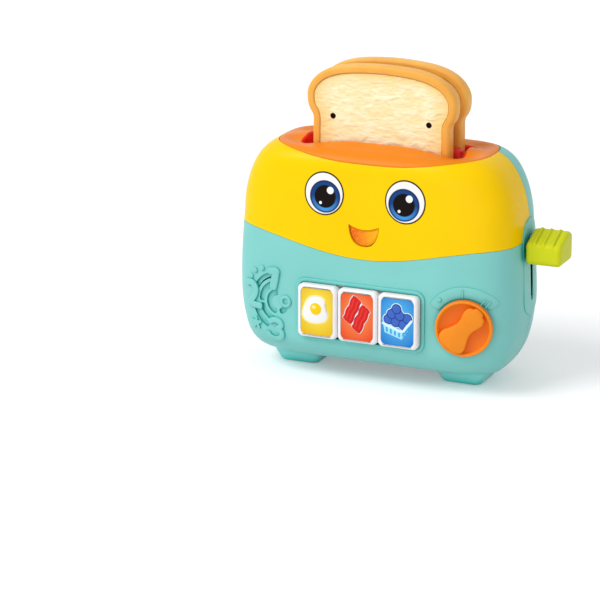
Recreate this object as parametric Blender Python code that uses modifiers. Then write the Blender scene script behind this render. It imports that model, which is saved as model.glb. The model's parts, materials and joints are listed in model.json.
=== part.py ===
"""Toy toaster with two lift-out slices, a spring lever, three push buttons and a rotary switch.

Units are metres. +X points to the lever side, -Y out of the front, +Z up.
Every place is measured from the middle of the body on the floor. The empty "toaster_origin"
then moves the whole toy so that the middle of its overall box stands on the origin.
"""
import math

import bmesh
import bpy
from mathutils import Matrix, Vector
from mathutils.bvhtree import BVHTree

# Casing
BODY_WIDTH = 0.198
BODY_DEPTH = 0.088
BODY_TOP = 0.1608
FOOT_HEIGHT = 0.008
WALL = 0.0025
GAP = 0.0003
OVERRUN = 0.030
SEAM_Y = 0.008
CROWN_HEIGHT = 0.0045
LOW_CORNER_WIDTH = 0.022
LOW_CORNER_HEIGHT = 0.050
TOP_CORNER_WIDTH = 0.0288
TOP_CORNER_HEIGHT = 0.049
LOW_FRONT_DEPTH = 0.034
LOW_FRONT_HEIGHT = 0.020
TOP_FRONT_DEPTH = 0.0125
TOP_FRONT_HEIGHT = 0.0138
TAPER_START = 0.065
WIDTH_TAPER_SHARE = 0.046
DEPTH_TAPER_SHARE = 0.049
TAPER_CURVE_SHARE = 1.6
PLAN_SHARE = 3.9
TOP_RING_SHARES = (0.85, 0.62, 0.36, 0.12)
RELIEF = 0.0007
FINE_RING = 44
COARSE_RING = 28

# Feet
FOOT_CENTRE_X = 0.0586
FOOT_BOTTOM_WIDTH = 0.0275
FOOT_TOP_WIDTH = 0.041
FOOT_BOTTOM_DEPTH = 0.030
FOOT_TOP_DEPTH = 0.040
FOOT_ROOT = 0.006
FOOT_ROUND = 0.0018

# Line between the yellow cover and the teal front
COVER_LOW_Z = 0.0862
COVER_HIGH_Z = 0.0996
COVER_LINE_STEPS = 16

# Top plate and bread slots
INSERT_WIDTH = 0.148
INSERT_DEPTH = 0.0786
INSERT_SHARE = 3.0
INSERT_STEPS = 40
INSERT_SKIRT = 0.012
INSERT_WALL = 0.0020
SLICE_PITCH = 0.0215
SLOT_END_ROOM = 0.0081
SLOT_SIDE_ROOM = 0.0015
SLOT_CORNER = 0.0050
SLOT_NOTCH = 0.0040
LIP_ROUND = 0.0040
LIP_BOTTOM_Z = 0.1500
LIP_STEPS = 4
OPENING_END_SHARE = 0.62
OPENING_END_STEPS = 7
OPENING_SIDE_STEPS = 9

# Well under the slots
WELL_WALL = 0.0020
WELL_FLOOR_Z = 0.064
DIVIDER_TOP_Z = 0.1563
DIVIDER_ROUND = 0.0020
ARM_SLOT_WIDTH = 0.0072
FLANGE_REACH = 0.0290
FLANGE_THICKNESS = 0.0030
LOW_FLANGE_Z = 0.048
HIGH_FLANGE_Z = 0.1165

# Slices
SLICE_THICKNESS = 0.0102
SLICE_NECK_WIDTH = 0.0968
SLICE_BULGE_WIDTH = 0.1054
SLICE_BOTTOM_Z = 0.105
SLICE_HEIGHT = 0.1051
SLICE_NECK_Z = 0.1728
SLICE_CORNER = 0.006
CRUST_WIDTH = 0.0052
CRUMB_INSET = 0.0007
CRUST_ROUND = 0.0019
SLICE_CORNER_STEPS = 4
NECK_LIFT_SHARE = 0.3
SHOULDER_SHARES = ((0.0, 0.0), (0.20, 0.045), (0.62, 0.13), (0.90, 0.22), (1.0, 0.33), (0.97, 0.45))
CROWN_SHARES = ((0.965, 0.57), (0.91, 0.68), (0.82, 0.79), (0.69, 0.88), (0.52, 0.945), (0.30, 0.983),
                (0.0, 1.0))
DOT_X = 0.0339
DOT_Z = 0.1738
DOT_RADIUS = 0.0019
DOT_DEPTH = 0.0030

# Lever
LEVER_TRAVEL = 0.030
LEVER_Y = SEAM_Y
KNOB_REACH = 0.0254
KNOB_START = 0.0012
KNOB_DEPTH = 0.0255
KNOB_SETTING = 0.0052
KNOB_BOTTOM_Z = 0.0857
KNOB_FRONT_TOP_Z = 0.0998
KNOB_TOP_Z = 0.1064
KNOB_REAR_TOP_Z = 0.1047
KNOB_ROUND = 0.0036
KNOB_RIB_COUNT = 3
KNOB_RIB_PITCH = 0.0062
KNOB_RIB_WIDTH = 0.0016
KNOB_RIB_RISE = 0.0009
KNOB_CREST_SHARE = 0.14
NECK_THICKNESS = 0.0036
NECK_HEIGHT = 0.012
NECK_BOTTOM_Z = 0.0890
LEVER_SLOT_WIDTH = 0.0046
LEVER_SLOT_CLEARANCE = 0.0012
PANEL_WIDTH = 0.030
PANEL_BOTTOM_Z = 0.0470
PANEL_TOP_Z = 0.1130
BLOCK_CLEARANCE = 0.0049
BLOCK_LENGTH = 0.0180
BLOCK_DEPTH = 0.0360
BLOCK_BOTTOM_Z = 0.0880
BLOCK_HEIGHT = 0.0200
ARM_WIDTH = 0.0060
ARM_HEIGHT = 0.0055
ARM_END_X = 0.0450
ROD_RADIUS = 0.0015
ROD_Y = 0.0130
ROD_CLEARANCE = 0.0003
SPRING_RADIUS = 0.0032
SPRING_WIRE = 0.0009
SPRING_TURNS = 6
SPRING_POINTS = 9

# Buttons
BUTTON_COUNT = 3
BUTTON_ROW_X = -0.0019
BUTTON_ROW_Z = 0.0484
BUTTON_WIDTH = 0.0282
BUTTON_HEIGHT = 0.0364
BUTTON_PITCH = 0.0287
BUTTON_FRONT = 0.0055
BUTTON_CORNER = 0.0036
BUTTON_ROUND = 0.0016
BUTTON_WALL = 0.0020
BUTTON_FLANGE = 0.0014
BUTTON_FLANGE_THICKNESS = 0.0015
BUTTON_STEM_RADIUS = 0.0035
BUTTON_STEM_REACH = 0.0062
BUTTON_WINDOW_CLEARANCE = 0.0005
BUTTON_FRAME_WIDTH = 0.0022
LABEL_MARGIN = 0.0022
LABEL_THICKNESS = 0.0006
LABEL_CORNER = 0.0026
DOME_BASE_RADIUS = 0.0056
DOME_TOP_RADIUS = 0.0036

# Circuit board
BOARD_WIDTH = 0.084
BOARD_HEIGHT = 0.054
BOARD_THICKNESS = 0.0016
BOARD_CENTRE_X = 0.0040
BOARD_FRONT_Y = -0.0283
POST_RADIUS = 0.0022
POST_SPREAD_X = 0.030
POST_SPREAD_Z = 0.0238
BOARD_SCREW_HEAD_RADIUS = 0.0022
BOARD_SCREW_HEAD_HEIGHT = 0.0012
BOARD_SCREW_RADIUS = 0.0009
BOARD_SCREW_REACH = 0.0050

# Dial
DIAL_X = 0.0705
DIAL_Z = 0.0480
DIAL_RADIUS = 0.0190
DIAL_THICKNESS = 0.0045
DISH_RADIUS = 0.0174
DISH_DEPTH = 0.0026
DIAL_ROUND = 0.0008
DIAL_GRIP_RISE = 0.0010
DIAL_GRIP_TAIL_WIDTH = 0.0190
DIAL_GRIP_WAIST_WIDTH = 0.0110
DIAL_GRIP_HEAD_WIDTH = 0.0135
GRIP_TAIL_SHARES = ((-0.92, 0.62), (-0.70, 0.93), (-0.45, 0.80))
GRIP_WAIST_SHARES = ((-0.15, 1.04), (0.15, 1.0))
GRIP_HEAD_SHARES = ((0.45, 0.97), (0.64, 1.0), (0.80, 0.78), (0.90, 0.36))
DIAL_REST_ANGLE = math.radians(50)
DIAL_REACH = 0.0056
DIAL_PAD_MARGIN = 0.0012
DIAL_SHAFT_RADIUS = 0.0030
DIAL_SHAFT_REACH = 0.0140
FAN_INNER_RADIUS = 0.0196
FAN_OUTER_RADIUS = 0.0272
FAN_START_ANGLE = math.radians(38)
FAN_END_ANGLE = math.radians(149)
FAN_CORNER_STEPS = 10
SWITCH_WIDTH = 0.016
SWITCH_DEPTH = 0.009
SWITCH_START = 0.0072

# Sound slots and speaker
GRILLE_X = -0.0620
GRILLE_Z = 0.0495
GRILLE_RADII = (0.0066, 0.0125, 0.0186)
GRILLE_SLOT_WIDTH = 0.0026
GRILLE_ARCS = ((95, 262), (300, 340), (102, 184), (207, 258), (110, 166), (196, 246))
GRILLE_ARC_STEPS = 8
SPEAKER_RADIUS = 0.0200
SPEAKER_RIM = 0.0016
SPEAKER_BACK_RADIUS = 0.0125
SPEAKER_DEPTH = 0.0120
SPEAKER_SETBACK = 0.0090
SPEAKER_RING_WALL = 0.0018
CONE_RADIUS = 0.0175
CONE_INNER_RADIUS = 0.0060
CONE_THICKNESS = 0.0006

# Mouth and its light
MOUTH_Z = 0.1090
MOUTH_HALF_WIDTH = 0.0105
MOUTH_DROP = 0.0140
MOUTH_UPPER_DROP = 0.0028
MOUTH_STEPS = 11
LENS_THICKNESS = 0.0024
LENS_INSET = 0.0008
LED_RADIUS = 0.0025
LED_LENGTH = 0.0052
LED_Z = 0.1020
LED_BOARD_WIDTH = 0.0300
LED_BOARD_HEIGHT = 0.0280
LED_BOARD_Z = 0.1060
LED_BOARD_Y = -0.0290
LED_BOARD_THICKNESS = 0.0012
LED_POST_X = 0.0125
LED_POST_Z = 0.1170

# Battery compartment
CELL_RADIUS = 0.00725
CELL_LENGTH = 0.0492
CELL_NUB_RADIUS = 0.0028
CELL_NUB_LENGTH = 0.0013
CELL_CLEARANCE = 0.0006
CONTACT_THICKNESS = 0.0006
BAY_WALL = 0.0020
BAY_LEDGE = 0.0035
BAY_BOTTOM_Z = 0.0315
DOOR_TAB = 0.0100
DOOR_CORNER = 0.0030
DOOR_SCREW_RADIUS = 0.0013
DOOR_SCREW_HEAD_RADIUS = 0.0029
DOOR_SCREW_HEAD_HEIGHT = 0.0012
DOOR_SCREW_REACH = 0.0090

# Case screws
CASE_SCREW_LOW_X = 0.0800
CASE_SCREW_LOW_Z = 0.0340
CASE_SCREW_HIGH_X = 0.0730
CASE_SCREW_HIGH_Z = 0.1320
CASE_BOSS_RADIUS = 0.0042
CASE_SCREW_HEAD_RADIUS = 0.0028
CASE_SCREW_HEAD_HEIGHT = 0.0018
CASE_SCREW_RADIUS = 0.0013
CASE_SCREW_LENGTH = 0.0240
CASE_SCREW_SINK = 0.0140

HALF_WIDTH = BODY_WIDTH / 2
HALF_DEPTH = BODY_DEPTH / 2
SHOULDER_Z = BODY_TOP - CROWN_HEIGHT
INSERT_BOTTOM_Z = SHOULDER_Z - INSERT_SKIRT
SLOT_LENGTH = SLICE_NECK_WIDTH + 2 * SLOT_END_ROOM
SLOT_WIDTH = SLICE_THICKNESS + 2 * SLOT_SIDE_ROOM
WELL_HALF_LENGTH = SLOT_LENGTH / 2 + GAP + WELL_WALL
BLOCK_START_X = WELL_HALF_LENGTH + GAP + WELL_WALL + BLOCK_CLEARANCE
ROD_X = BLOCK_START_X + BLOCK_LENGTH / 2
KNOB_Y = LEVER_Y - KNOB_SETTING
KNOB_END_X = HALF_WIDTH + KNOB_REACH
BUTTON_FACE_Y = -HALF_DEPTH - BUTTON_FRONT
BUTTON_STEM_END_Y = -HALF_DEPTH + WALL + BUTTON_STEM_REACH
ARM_SLOT_MARGIN = (ARM_SLOT_WIDTH - ARM_WIDTH) / 2
ARM_BOTTOM_Z = SLICE_BOTTOM_Z - GAP - ARM_HEIGHT
BAY_HALF_LENGTH = CELL_LENGTH / 2 + CELL_NUB_LENGTH + CONTACT_THICKNESS + 2 * CELL_CLEARANCE
BAY_TOP_Z = BAY_BOTTOM_Z + 4 * CELL_RADIUS + 3 * CELL_CLEARANCE
BAY_MIDDLE_Z = (BAY_BOTTOM_Z + BAY_TOP_Z) / 2
DOOR_HALF_LENGTH = BAY_HALF_LENGTH + BAY_LEDGE
DOOR_SEAT_Y = HALF_DEPTH - WALL
BAY_FLOOR_Y = DOOR_SEAT_Y - 2 * CELL_RADIUS - 2 * CELL_CLEARANCE
DOOR_SCREW_X = DOOR_HALF_LENGTH + DOOR_TAB / 2 - GAP

TEAL = (0.26, 0.62, 0.59, 1)
YELLOW = (0.95, 0.68, 0.01, 1)
ORANGE = (0.90, 0.27, 0.02, 1)
LIME = (0.52, 0.70, 0.03, 1)
RED = (0.75, 0.02, 0.03, 1)
WHITE = (0.86, 0.86, 0.84, 1)
CRUST = (0.70, 0.34, 0.08, 1)
CRUMB = (0.92, 0.76, 0.42, 1)
STEEL = (0.55, 0.56, 0.58, 1)
BOARD_GREEN = (0.03, 0.22, 0.09, 1)
BLACK = (0.03, 0.03, 0.035, 1)
LABEL_YELLOW = (0.90, 0.60, 0.03, 1)
LABEL_RED = (0.85, 0.13, 0.03, 1)
LABEL_BLUE = (0.03, 0.27, 0.72, 1)
LENS_RED = (0.88, 0.10, 0.02, 1)
RUBBER_GREY = (0.35, 0.36, 0.38, 1)

for old in list(bpy.data.objects):
    bpy.data.objects.remove(old, do_unlink=True)

TOASTER = bpy.data.collections.new("toy_toaster")
CUTTERS = bpy.data.collections.new("cutters")
bpy.context.scene.collection.children.link(TOASTER)
bpy.context.scene.collection.children.link(CUTTERS)
ORIGIN = bpy.data.objects.new("toaster_origin", None)
TOASTER.objects.link(ORIGIN)
ORIGIN.location = (-KNOB_REACH / 2, DIAL_REACH / 2, 0)


def material(name, colour, roughness, metallic=0.0):
    """A Principled material with one colour."""
    made = bpy.data.materials.get(name) or bpy.data.materials.new(name)
    made.use_nodes = True
    shader = made.node_tree.nodes["Principled BSDF"]
    shader.inputs["Base Color"].default_value = colour
    shader.inputs["Roughness"].default_value = roughness
    shader.inputs["Metallic"].default_value = metallic
    made.diffuse_color = colour
    return made


def add_object(name, mesh, collection=CUTTERS):
    """Link a mesh as an object. Guides and cutters are hidden from renders."""
    made = bpy.data.objects.new(name, mesh)
    collection.objects.link(made)
    made.parent = ORIGIN
    if collection is CUTTERS:
        made.hide_render = True
        made.display_type = 'WIRE'
    return made


def from_bmesh(name, shape, collection=CUTTERS):
    """Close a bmesh into an object with outward faces."""
    bmesh.ops.recalc_face_normals(shape, faces=shape.faces)
    mesh = bpy.data.meshes.new(name)
    shape.to_mesh(mesh)
    shape.free()
    return add_object(name, mesh, collection)


def box(name, low, high, collection=CUTTERS):
    """A box between two corners."""
    shape = bmesh.new()
    bmesh.ops.create_cube(shape, size=1)
    size = Vector(high) - Vector(low)
    middle = (Vector(high) + Vector(low)) / 2
    for vertex in shape.verts:
        vertex.co = Vector(a * b for a, b in zip(vertex.co, size)) + middle
    return from_bmesh(name, shape, collection)


def direction_matrix(start, direction):
    """A frame at start whose local Z runs along direction."""
    turn = Vector(direction).normalized().to_track_quat('Z', 'Y').to_matrix().to_4x4()
    return Matrix.Translation(Vector(start)) @ turn


def rod(name, radius, length, start, direction, sides=24, end_radius=None, collection=CUTTERS):
    """A round bar from start along direction, tapering if an end radius is given."""
    shape = bmesh.new()
    far = radius if end_radius is None else end_radius
    place = direction_matrix(start, direction) @ Matrix.Translation((0, 0, length / 2))
    bmesh.ops.create_cone(shape, cap_ends=True, segments=sides, radius1=radius, radius2=far,
                          depth=length, matrix=place)
    return from_bmesh(name, shape, collection)


def prism(name, outline, thickness, frame, collection=CUTTERS):
    """A flat outline drawn in the frame's XY plane and given a thickness along its +Z."""
    curve = bpy.data.curves.new(name + "_outline", 'CURVE')
    curve.dimensions = '2D'
    curve.fill_mode = 'BOTH'
    curve.extrude = thickness / 2
    spline = curve.splines.new('POLY')
    spline.points.add(len(outline) - 1)
    for point, (across, up) in zip(spline.points, outline):
        point.co = (across, up, 0, 1)
    spline.use_cyclic_u = True
    drawn = bpy.data.objects.new(name + "_outline", curve)
    CUTTERS.objects.link(drawn)
    bpy.context.view_layer.update()
    mesh = bpy.data.meshes.new_from_object(drawn.evaluated_get(bpy.context.evaluated_depsgraph_get()))
    bpy.data.objects.remove(drawn)
    shape = bmesh.new()
    shape.from_mesh(mesh)
    bpy.data.meshes.remove(mesh)
    bmesh.ops.remove_doubles(shape, verts=shape.verts, dist=GAP / 100)
    bmesh.ops.transform(shape, verts=shape.verts, matrix=frame @ Matrix.Translation((0, 0, thickness / 2)))
    return from_bmesh(name, shape, collection)


def turned(name, profile, frame, steps=32, collection=CUTTERS):
    """A profile of (radius, height) points turned about the frame's Z axis, closed on the axis."""
    shape = bmesh.new()
    corners = [shape.verts.new((radius, 0, height)) for radius, height in profile]
    for first, second in zip(corners, corners[1:]):
        shape.edges.new((first, second))
    if profile[0][0] > 0:
        shape.edges.new((corners[-1], corners[0]))
    bmesh.ops.spin(shape, geom=shape.verts[:] + shape.edges[:], cent=(0, 0, 0), axis=(0, 0, 1),
                   angle=math.tau, steps=steps, use_merge=True)
    bmesh.ops.remove_doubles(shape, verts=shape.verts, dist=GAP / 10)
    bmesh.ops.transform(shape, verts=shape.verts, matrix=frame)
    return from_bmesh(name, shape, collection)


def combine(target, other, operation):
    """Add a live Boolean that uses another object."""
    modifier = target.modifiers.new(operation.lower() + "_" + other.name, 'BOOLEAN')
    modifier.operation = operation
    modifier.object = other
    modifier.solver = 'EXACT'
    return target


def cut(target, *others):
    """Take others away from target."""
    for other in others:
        combine(target, other, 'DIFFERENCE')
    return target


def join(target, *others):
    """Add others to target."""
    for other in others:
        combine(target, other, 'UNION')
    return target


def keep(target, *others):
    """Keep only what target shares with others."""
    for other in others:
        combine(target, other, 'INTERSECT')
    return target


def copy_of(source, name, collection=CUTTERS):
    """A second object with the same mesh and modifiers."""
    made = source.copy()
    made.name = name
    collection.objects.link(made)
    return made


def bevel(target, width, segments=2, angle=math.radians(40)):
    """Round the sharp edges."""
    modifier = target.modifiers.new("rounded_edges", 'BEVEL')
    modifier.width = width
    modifier.segments = segments
    modifier.limit_method = 'ANGLE'
    modifier.angle_limit = angle
    return target


def finish(target, name, finish_material, smooth_angle=math.radians(35)):
    """Name a finished piece, colour it and put it with the parts."""
    target.name = name
    target.data.name = name
    if target.name not in TOASTER.objects:
        for collection in target.users_collection:
            collection.objects.unlink(target)
        TOASTER.objects.link(target)
    target.hide_render = False
    target.display_type = 'TEXTURED'
    target.data.materials.clear()
    target.data.materials.append(finish_material)
    target.data.shade_smooth()
    target.data.set_sharp_from_angle(angle=smooth_angle)
    return target


def rounded_rectangle(width, height, corner, centre=(0, 0), steps=5):
    """Points of a rectangle with round corners."""
    points = []
    for index, (side, end) in enumerate(((1, 1), (-1, 1), (-1, -1), (1, -1))):
        middle_x = centre[0] + side * (width / 2 - corner)
        middle_y = centre[1] + end * (height / 2 - corner)
        for step in range(steps + 1):
            angle = (index + step / steps) * math.pi / 2
            points.append((middle_x + corner * math.cos(angle), middle_y + corner * math.sin(angle)))
    return points


def superellipse(half_width, half_depth, share, count):
    """Points of a superellipse, from a rectangle-like to a round outline."""
    points = []
    for index in range(count):
        angle = math.tau * index / count
        cosine = math.cos(angle)
        sine = math.sin(angle)
        points.append((half_width * math.copysign(abs(cosine) ** (2 / share), cosine),
                       half_depth * math.copysign(abs(sine) ** (2 / share), sine)))
    return points


def corner_inset(travelled, height, width):
    """How far a quarter ellipse has drawn in after some height."""
    share = min(max(travelled / height, 0), 1)
    return width * (1 - math.sqrt(1 - share ** 2))


def half_size(z, half, taper_share, low_width, low_height, top_width, top_height, inset):
    """Half width or half depth of the body at a height, drawn in by an inset all round."""
    bottom = FOOT_HEIGHT + inset
    top = BODY_TOP - inset
    shoulder = SHOULDER_Z - inset
    corner_start = shoulder - top_height
    lean = max(min(z, corner_start) - TAPER_START, 0) / TAPER_START
    size = half * (1 - taper_share * lean ** TAPER_CURVE_SHARE) - inset
    size -= corner_inset(bottom + low_height - z, low_height, low_width)
    size -= corner_inset(z - corner_start, top_height, top_width)
    if z > shoulder:
        size *= math.sqrt(max(top - z, 0) / (top - shoulder))
    return size


def half_width_at(z, inset=0):
    """Half width of the body at a height."""
    return half_size(z, HALF_WIDTH, WIDTH_TAPER_SHARE, LOW_CORNER_WIDTH, LOW_CORNER_HEIGHT,
                     TOP_CORNER_WIDTH, TOP_CORNER_HEIGHT, inset)


def half_depth_at(z, inset=0):
    """Half depth of the body at a height."""
    return half_size(z, HALF_DEPTH, DEPTH_TAPER_SHARE, LOW_FRONT_DEPTH, LOW_FRONT_HEIGHT,
                     TOP_FRONT_DEPTH, TOP_FRONT_HEIGHT, inset)


def front_y(x, z, inset=0):
    """Y of the front surface at a place in the front view."""
    across = min(abs(x) / half_width_at(z, inset), 1)
    return -half_depth_at(z, inset) * (1 - across ** PLAN_SHARE) ** (1 / PLAN_SHARE)


def front_turn(x, z):
    """Angle about Z by which the front surface turns away at a place."""
    step = WALL
    return math.atan2(front_y(x + step, z) - front_y(x - step, z), 2 * step)


def body_levels(inset, fine):
    """Heights of the body's level sections, close together where it curves."""
    bottom = FOOT_HEIGHT + inset
    top = BODY_TOP - inset
    shoulder = SHOULDER_Z - inset
    steps = 5 if fine else 3
    levels = [bottom + LOW_FRONT_HEIGHT * (1 - math.cos(math.pi / 2 * step / steps))
              for step in range(steps + 1)]
    low_end = bottom + LOW_CORNER_HEIGHT
    high_start = shoulder - TOP_CORNER_HEIGHT
    front_start = shoulder - TOP_FRONT_HEIGHT
    for start, end, count in ((levels[-1], low_end, steps // 2), (low_end, high_start, steps // 2),
                              (high_start, front_start, steps - 1)):
        levels += [start + (end - start) * step / count for step in range(1, count + 1)]
    levels += [front_start + TOP_FRONT_HEIGHT * math.sin(math.pi / 2 * step / steps)
               for step in range(1, steps + 1)]
    levels += [top - (top - shoulder) * share ** 2 for share in TOP_RING_SHARES[::1 if fine else 2]]
    return levels


def body_form(name, inset, fine=True):
    """The closed body, lofted through level superellipse sections."""
    shape = bmesh.new()
    count = FINE_RING if fine else COARSE_RING
    rings = []
    for z in body_levels(inset, fine):
        outline = superellipse(half_width_at(z, inset), half_depth_at(z, inset), PLAN_SHARE, count)
        rings.append([shape.verts.new((x, y, z)) for x, y in outline])
    for lower, upper in zip(rings, rings[1:]):
        for index in range(count):
            following = (index + 1) % count
            shape.faces.new((lower[index], lower[following], upper[following], upper[index]))
    shape.faces.new(rings[0][::-1])
    shape.faces.new(rings[-1])
    return from_bmesh(name, shape)


FRONT_PLANE = Matrix.Rotation(math.radians(90), 4, 'X')


def front_frame(y):
    """A frame whose X is world X, whose Y is world Z and whose Z runs out of the front."""
    return Matrix.Translation((0, y, 0)) @ FRONT_PLANE


def side_frame(x):
    """A frame whose X is world Y, whose Y is world Z and whose Z runs to the lever side."""
    return Matrix.Translation((x, 0, 0)) @ Matrix.Rotation(math.radians(90), 4, 'Z') @ FRONT_PLANE


# Guides that several pieces share

OUTER = body_form("outer_form", 0)
INNER = body_form("inner_form", WALL, fine=False)
RAISED = body_form("raised_form", -RELIEF)
CORE = body_form("core_form", WALL / 2, fine=False)
CLEAR = body_form("clear_form", WALL + GAP, fine=False)
SEAT = body_form("foot_seat", -GAP)
OUTER_TREE = BVHTree.FromPolygons([vertex.co for vertex in OUTER.data.vertices],
                                  [list(face.vertices) for face in OUTER.data.polygons])


def cover_line(x):
    """Height of the yellow cover's lower edge: low in the middle, level at the ends."""
    middle = (COVER_LOW_Z + COVER_HIGH_Z) / 2
    swing = (COVER_HIGH_Z - COVER_LOW_Z) / 2
    return middle - swing * math.cos(math.pi * min(abs(x) / HALF_WIDTH, 1))


def lever_panel(name, clearance):
    """The upright capsule round the lever slot, as a block through the side wall."""
    middle_z = (PANEL_BOTTOM_Z + PANEL_TOP_Z) / 2
    width = PANEL_WIDTH + 2 * clearance
    height = PANEL_TOP_Z - PANEL_BOTTOM_Z + 2 * clearance
    outline = rounded_rectangle(width, height, width / 2 - GAP, (LEVER_Y, middle_z), 8)
    return prism(name, outline, 3 * OVERRUN, side_frame(HALF_WIDTH - OVERRUN))


def cover_region(name, clearance):
    """The space of the yellow cover: in front of the seam and above its lower edge."""
    end = HALF_WIDTH + OVERRUN
    outline = [(-end, cover_line(end) + clearance)]
    for step in range(1, COVER_LINE_STEPS):
        x = (2 * step / COVER_LINE_STEPS - 1) * HALF_WIDTH
        outline.append((x, cover_line(x) + clearance))
    outline += [(end, cover_line(end) + clearance), (end, BODY_TOP + OVERRUN), (-end, BODY_TOP + OVERRUN)]
    depth = HALF_DEPTH + OVERRUN + SEAM_Y - clearance
    region = prism(name, outline, depth, front_frame(SEAM_Y - clearance))
    return cut(region, lever_panel(name + "_panel", clearance))


def insert_block(name, clearance, low_z):
    """The upright oval of the top plate."""
    outline = superellipse(INSERT_WIDTH / 2 + clearance, INSERT_DEPTH / 2 + clearance,
                           INSERT_SHARE, INSERT_STEPS)
    return prism(name, outline, BODY_TOP + OVERRUN - low_z, Matrix.Translation((0, 0, low_z)))


def behind_seam(name, clearance):
    """Everything behind the seam."""
    end = HALF_WIDTH + OVERRUN
    return box(name, (-end, SEAM_Y + clearance, -OVERRUN), (end, HALF_DEPTH + OVERRUN, BODY_TOP + OVERRUN))


def before_seam(name, clearance):
    """Everything in front of the seam."""
    end = HALF_WIDTH + OVERRUN
    return box(name, (-end, -HALF_DEPTH - OVERRUN, -OVERRUN), (end, SEAM_Y - clearance, BODY_TOP + OVERRUN))


def foot_block(name, side):
    """One tapered foot, tall enough to reach into the body."""
    shape = bmesh.new()
    bmesh.ops.create_cube(shape, size=2)
    for vertex in shape.verts:
        top = vertex.co.z > 0
        width = FOOT_TOP_WIDTH if top else FOOT_BOTTOM_WIDTH
        depth = FOOT_TOP_DEPTH if top else FOOT_BOTTOM_DEPTH
        vertex.co = (side * FOOT_CENTRE_X + vertex.co.x * width / 2, vertex.co.y * depth / 2,
                     FOOT_HEIGHT + FOOT_ROOT if top else 0)
    return from_bmesh(name, shape)


LEVER_SLOT = box("lever_slot",
                 (HALF_WIDTH - OVERRUN, LEVER_Y - LEVER_SLOT_WIDTH / 2,
                  NECK_BOTTOM_Z - LEVER_TRAVEL - LEVER_SLOT_CLEARANCE),
                 (HALF_WIDTH + OVERRUN, LEVER_Y + LEVER_SLOT_WIDTH / 2,
                  NECK_BOTTOM_Z + NECK_HEIGHT + LEVER_SLOT_CLEARANCE))
PANEL_PLATE = keep(lever_panel("lever_panel", 0), RAISED)


def case_screw_places():
    """Names and places of the four case screws in the front view."""
    return (("case_screw_lower_left", -CASE_SCREW_LOW_X, CASE_SCREW_LOW_Z),
            ("case_screw_lower_right", CASE_SCREW_LOW_X, CASE_SCREW_LOW_Z),
            ("case_screw_upper_left", -CASE_SCREW_HIGH_X, CASE_SCREW_HIGH_Z),
            ("case_screw_upper_right", CASE_SCREW_HIGH_X, CASE_SCREW_HIGH_Z))


def screw_head_y(x, z):
    """Y of the back of a sunk case screw's head."""
    return -front_y(x, z) - CASE_SCREW_SINK


def case_boss(name, x, z, start_y, direction):
    """A round post from the seam to the wall on one side of it."""
    length = HALF_DEPTH + OVERRUN / 2
    return keep(rod(name, CASE_BOSS_RADIUS, length, (x, start_y, z), (0, direction, 0), 12), CORE)


def button_centre_x(index):
    """X of a button's middle, counted from the left."""
    return BUTTON_ROW_X + (index - (BUTTON_COUNT - 1) / 2) * BUTTON_PITCH


def button_row_outline(margin, corner):
    """Outline round the whole row of buttons."""
    width = (BUTTON_COUNT - 1) * BUTTON_PITCH + BUTTON_WIDTH + 2 * margin
    return rounded_rectangle(width, BUTTON_HEIGHT + 2 * margin, corner, (BUTTON_ROW_X, BUTTON_ROW_Z))


DIAL_FRAME = (Matrix.Translation((DIAL_X, front_y(DIAL_X, DIAL_Z), DIAL_Z))
              @ Matrix.Rotation(front_turn(DIAL_X, DIAL_Z), 4, 'Z') @ FRONT_PLANE)
GRILLE_FRAME = (Matrix.Translation((GRILLE_X, front_y(GRILLE_X, GRILLE_Z), GRILLE_Z))
                @ Matrix.Rotation(front_turn(GRILLE_X, GRILLE_Z), 4, 'Z') @ FRONT_PLANE)


def arc_band(inner, outer, start, end, steps, round_ends=False):
    """Outline of a band between two radii and two angles, with square or round ends."""
    angles = [start + (end - start) * step / steps for step in range(steps + 1)]
    points = [(outer * math.cos(angle), outer * math.sin(angle)) for angle in angles]
    middle = (inner + outer) / 2
    half = (outer - inner) / 2
    if round_ends:
        for turn in (0.25, 0.5, 0.75):
            angle = end + math.pi * turn
            points.append((middle * math.cos(end) + half * math.cos(angle),
                           middle * math.sin(end) + half * math.sin(angle)))
    points += [(inner * math.cos(angle), inner * math.sin(angle)) for angle in reversed(angles)]
    if round_ends:
        for turn in (1.25, 1.5, 1.75):
            angle = start + math.pi * turn
            points.append((middle * math.cos(start) + half * math.cos(angle),
                           middle * math.sin(start) + half * math.sin(angle)))
    return points


def mouth_outline(margin):
    """A plain symmetrical smile: a shallow curve above and a deep one below."""
    points = []
    for step in range(MOUTH_STEPS + 1):
        share = -1 + 2 * step / MOUTH_STEPS
        points.append((share * MOUTH_HALF_WIDTH, -MOUTH_DROP * math.sqrt(max(1 - abs(share) ** 2.4, 0))))
    for step in range(1, MOUTH_STEPS):
        share = 1 - 2 * step / MOUTH_STEPS
        points.append((share * MOUTH_HALF_WIDTH, -MOUTH_UPPER_DROP * (1 - share ** 2)))
    middle = -(MOUTH_DROP + MOUTH_UPPER_DROP) / 2
    grown = 1 + margin / (MOUTH_DROP + middle)
    return [(x * grown, MOUTH_Z + middle + (z - middle) * grown) for x, z in points]


def slot_centres():
    """Y of the front and rear bread slots."""
    return (("front", -SLICE_PITCH / 2), ("rear", SLICE_PITCH / 2))


# Casing

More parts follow.
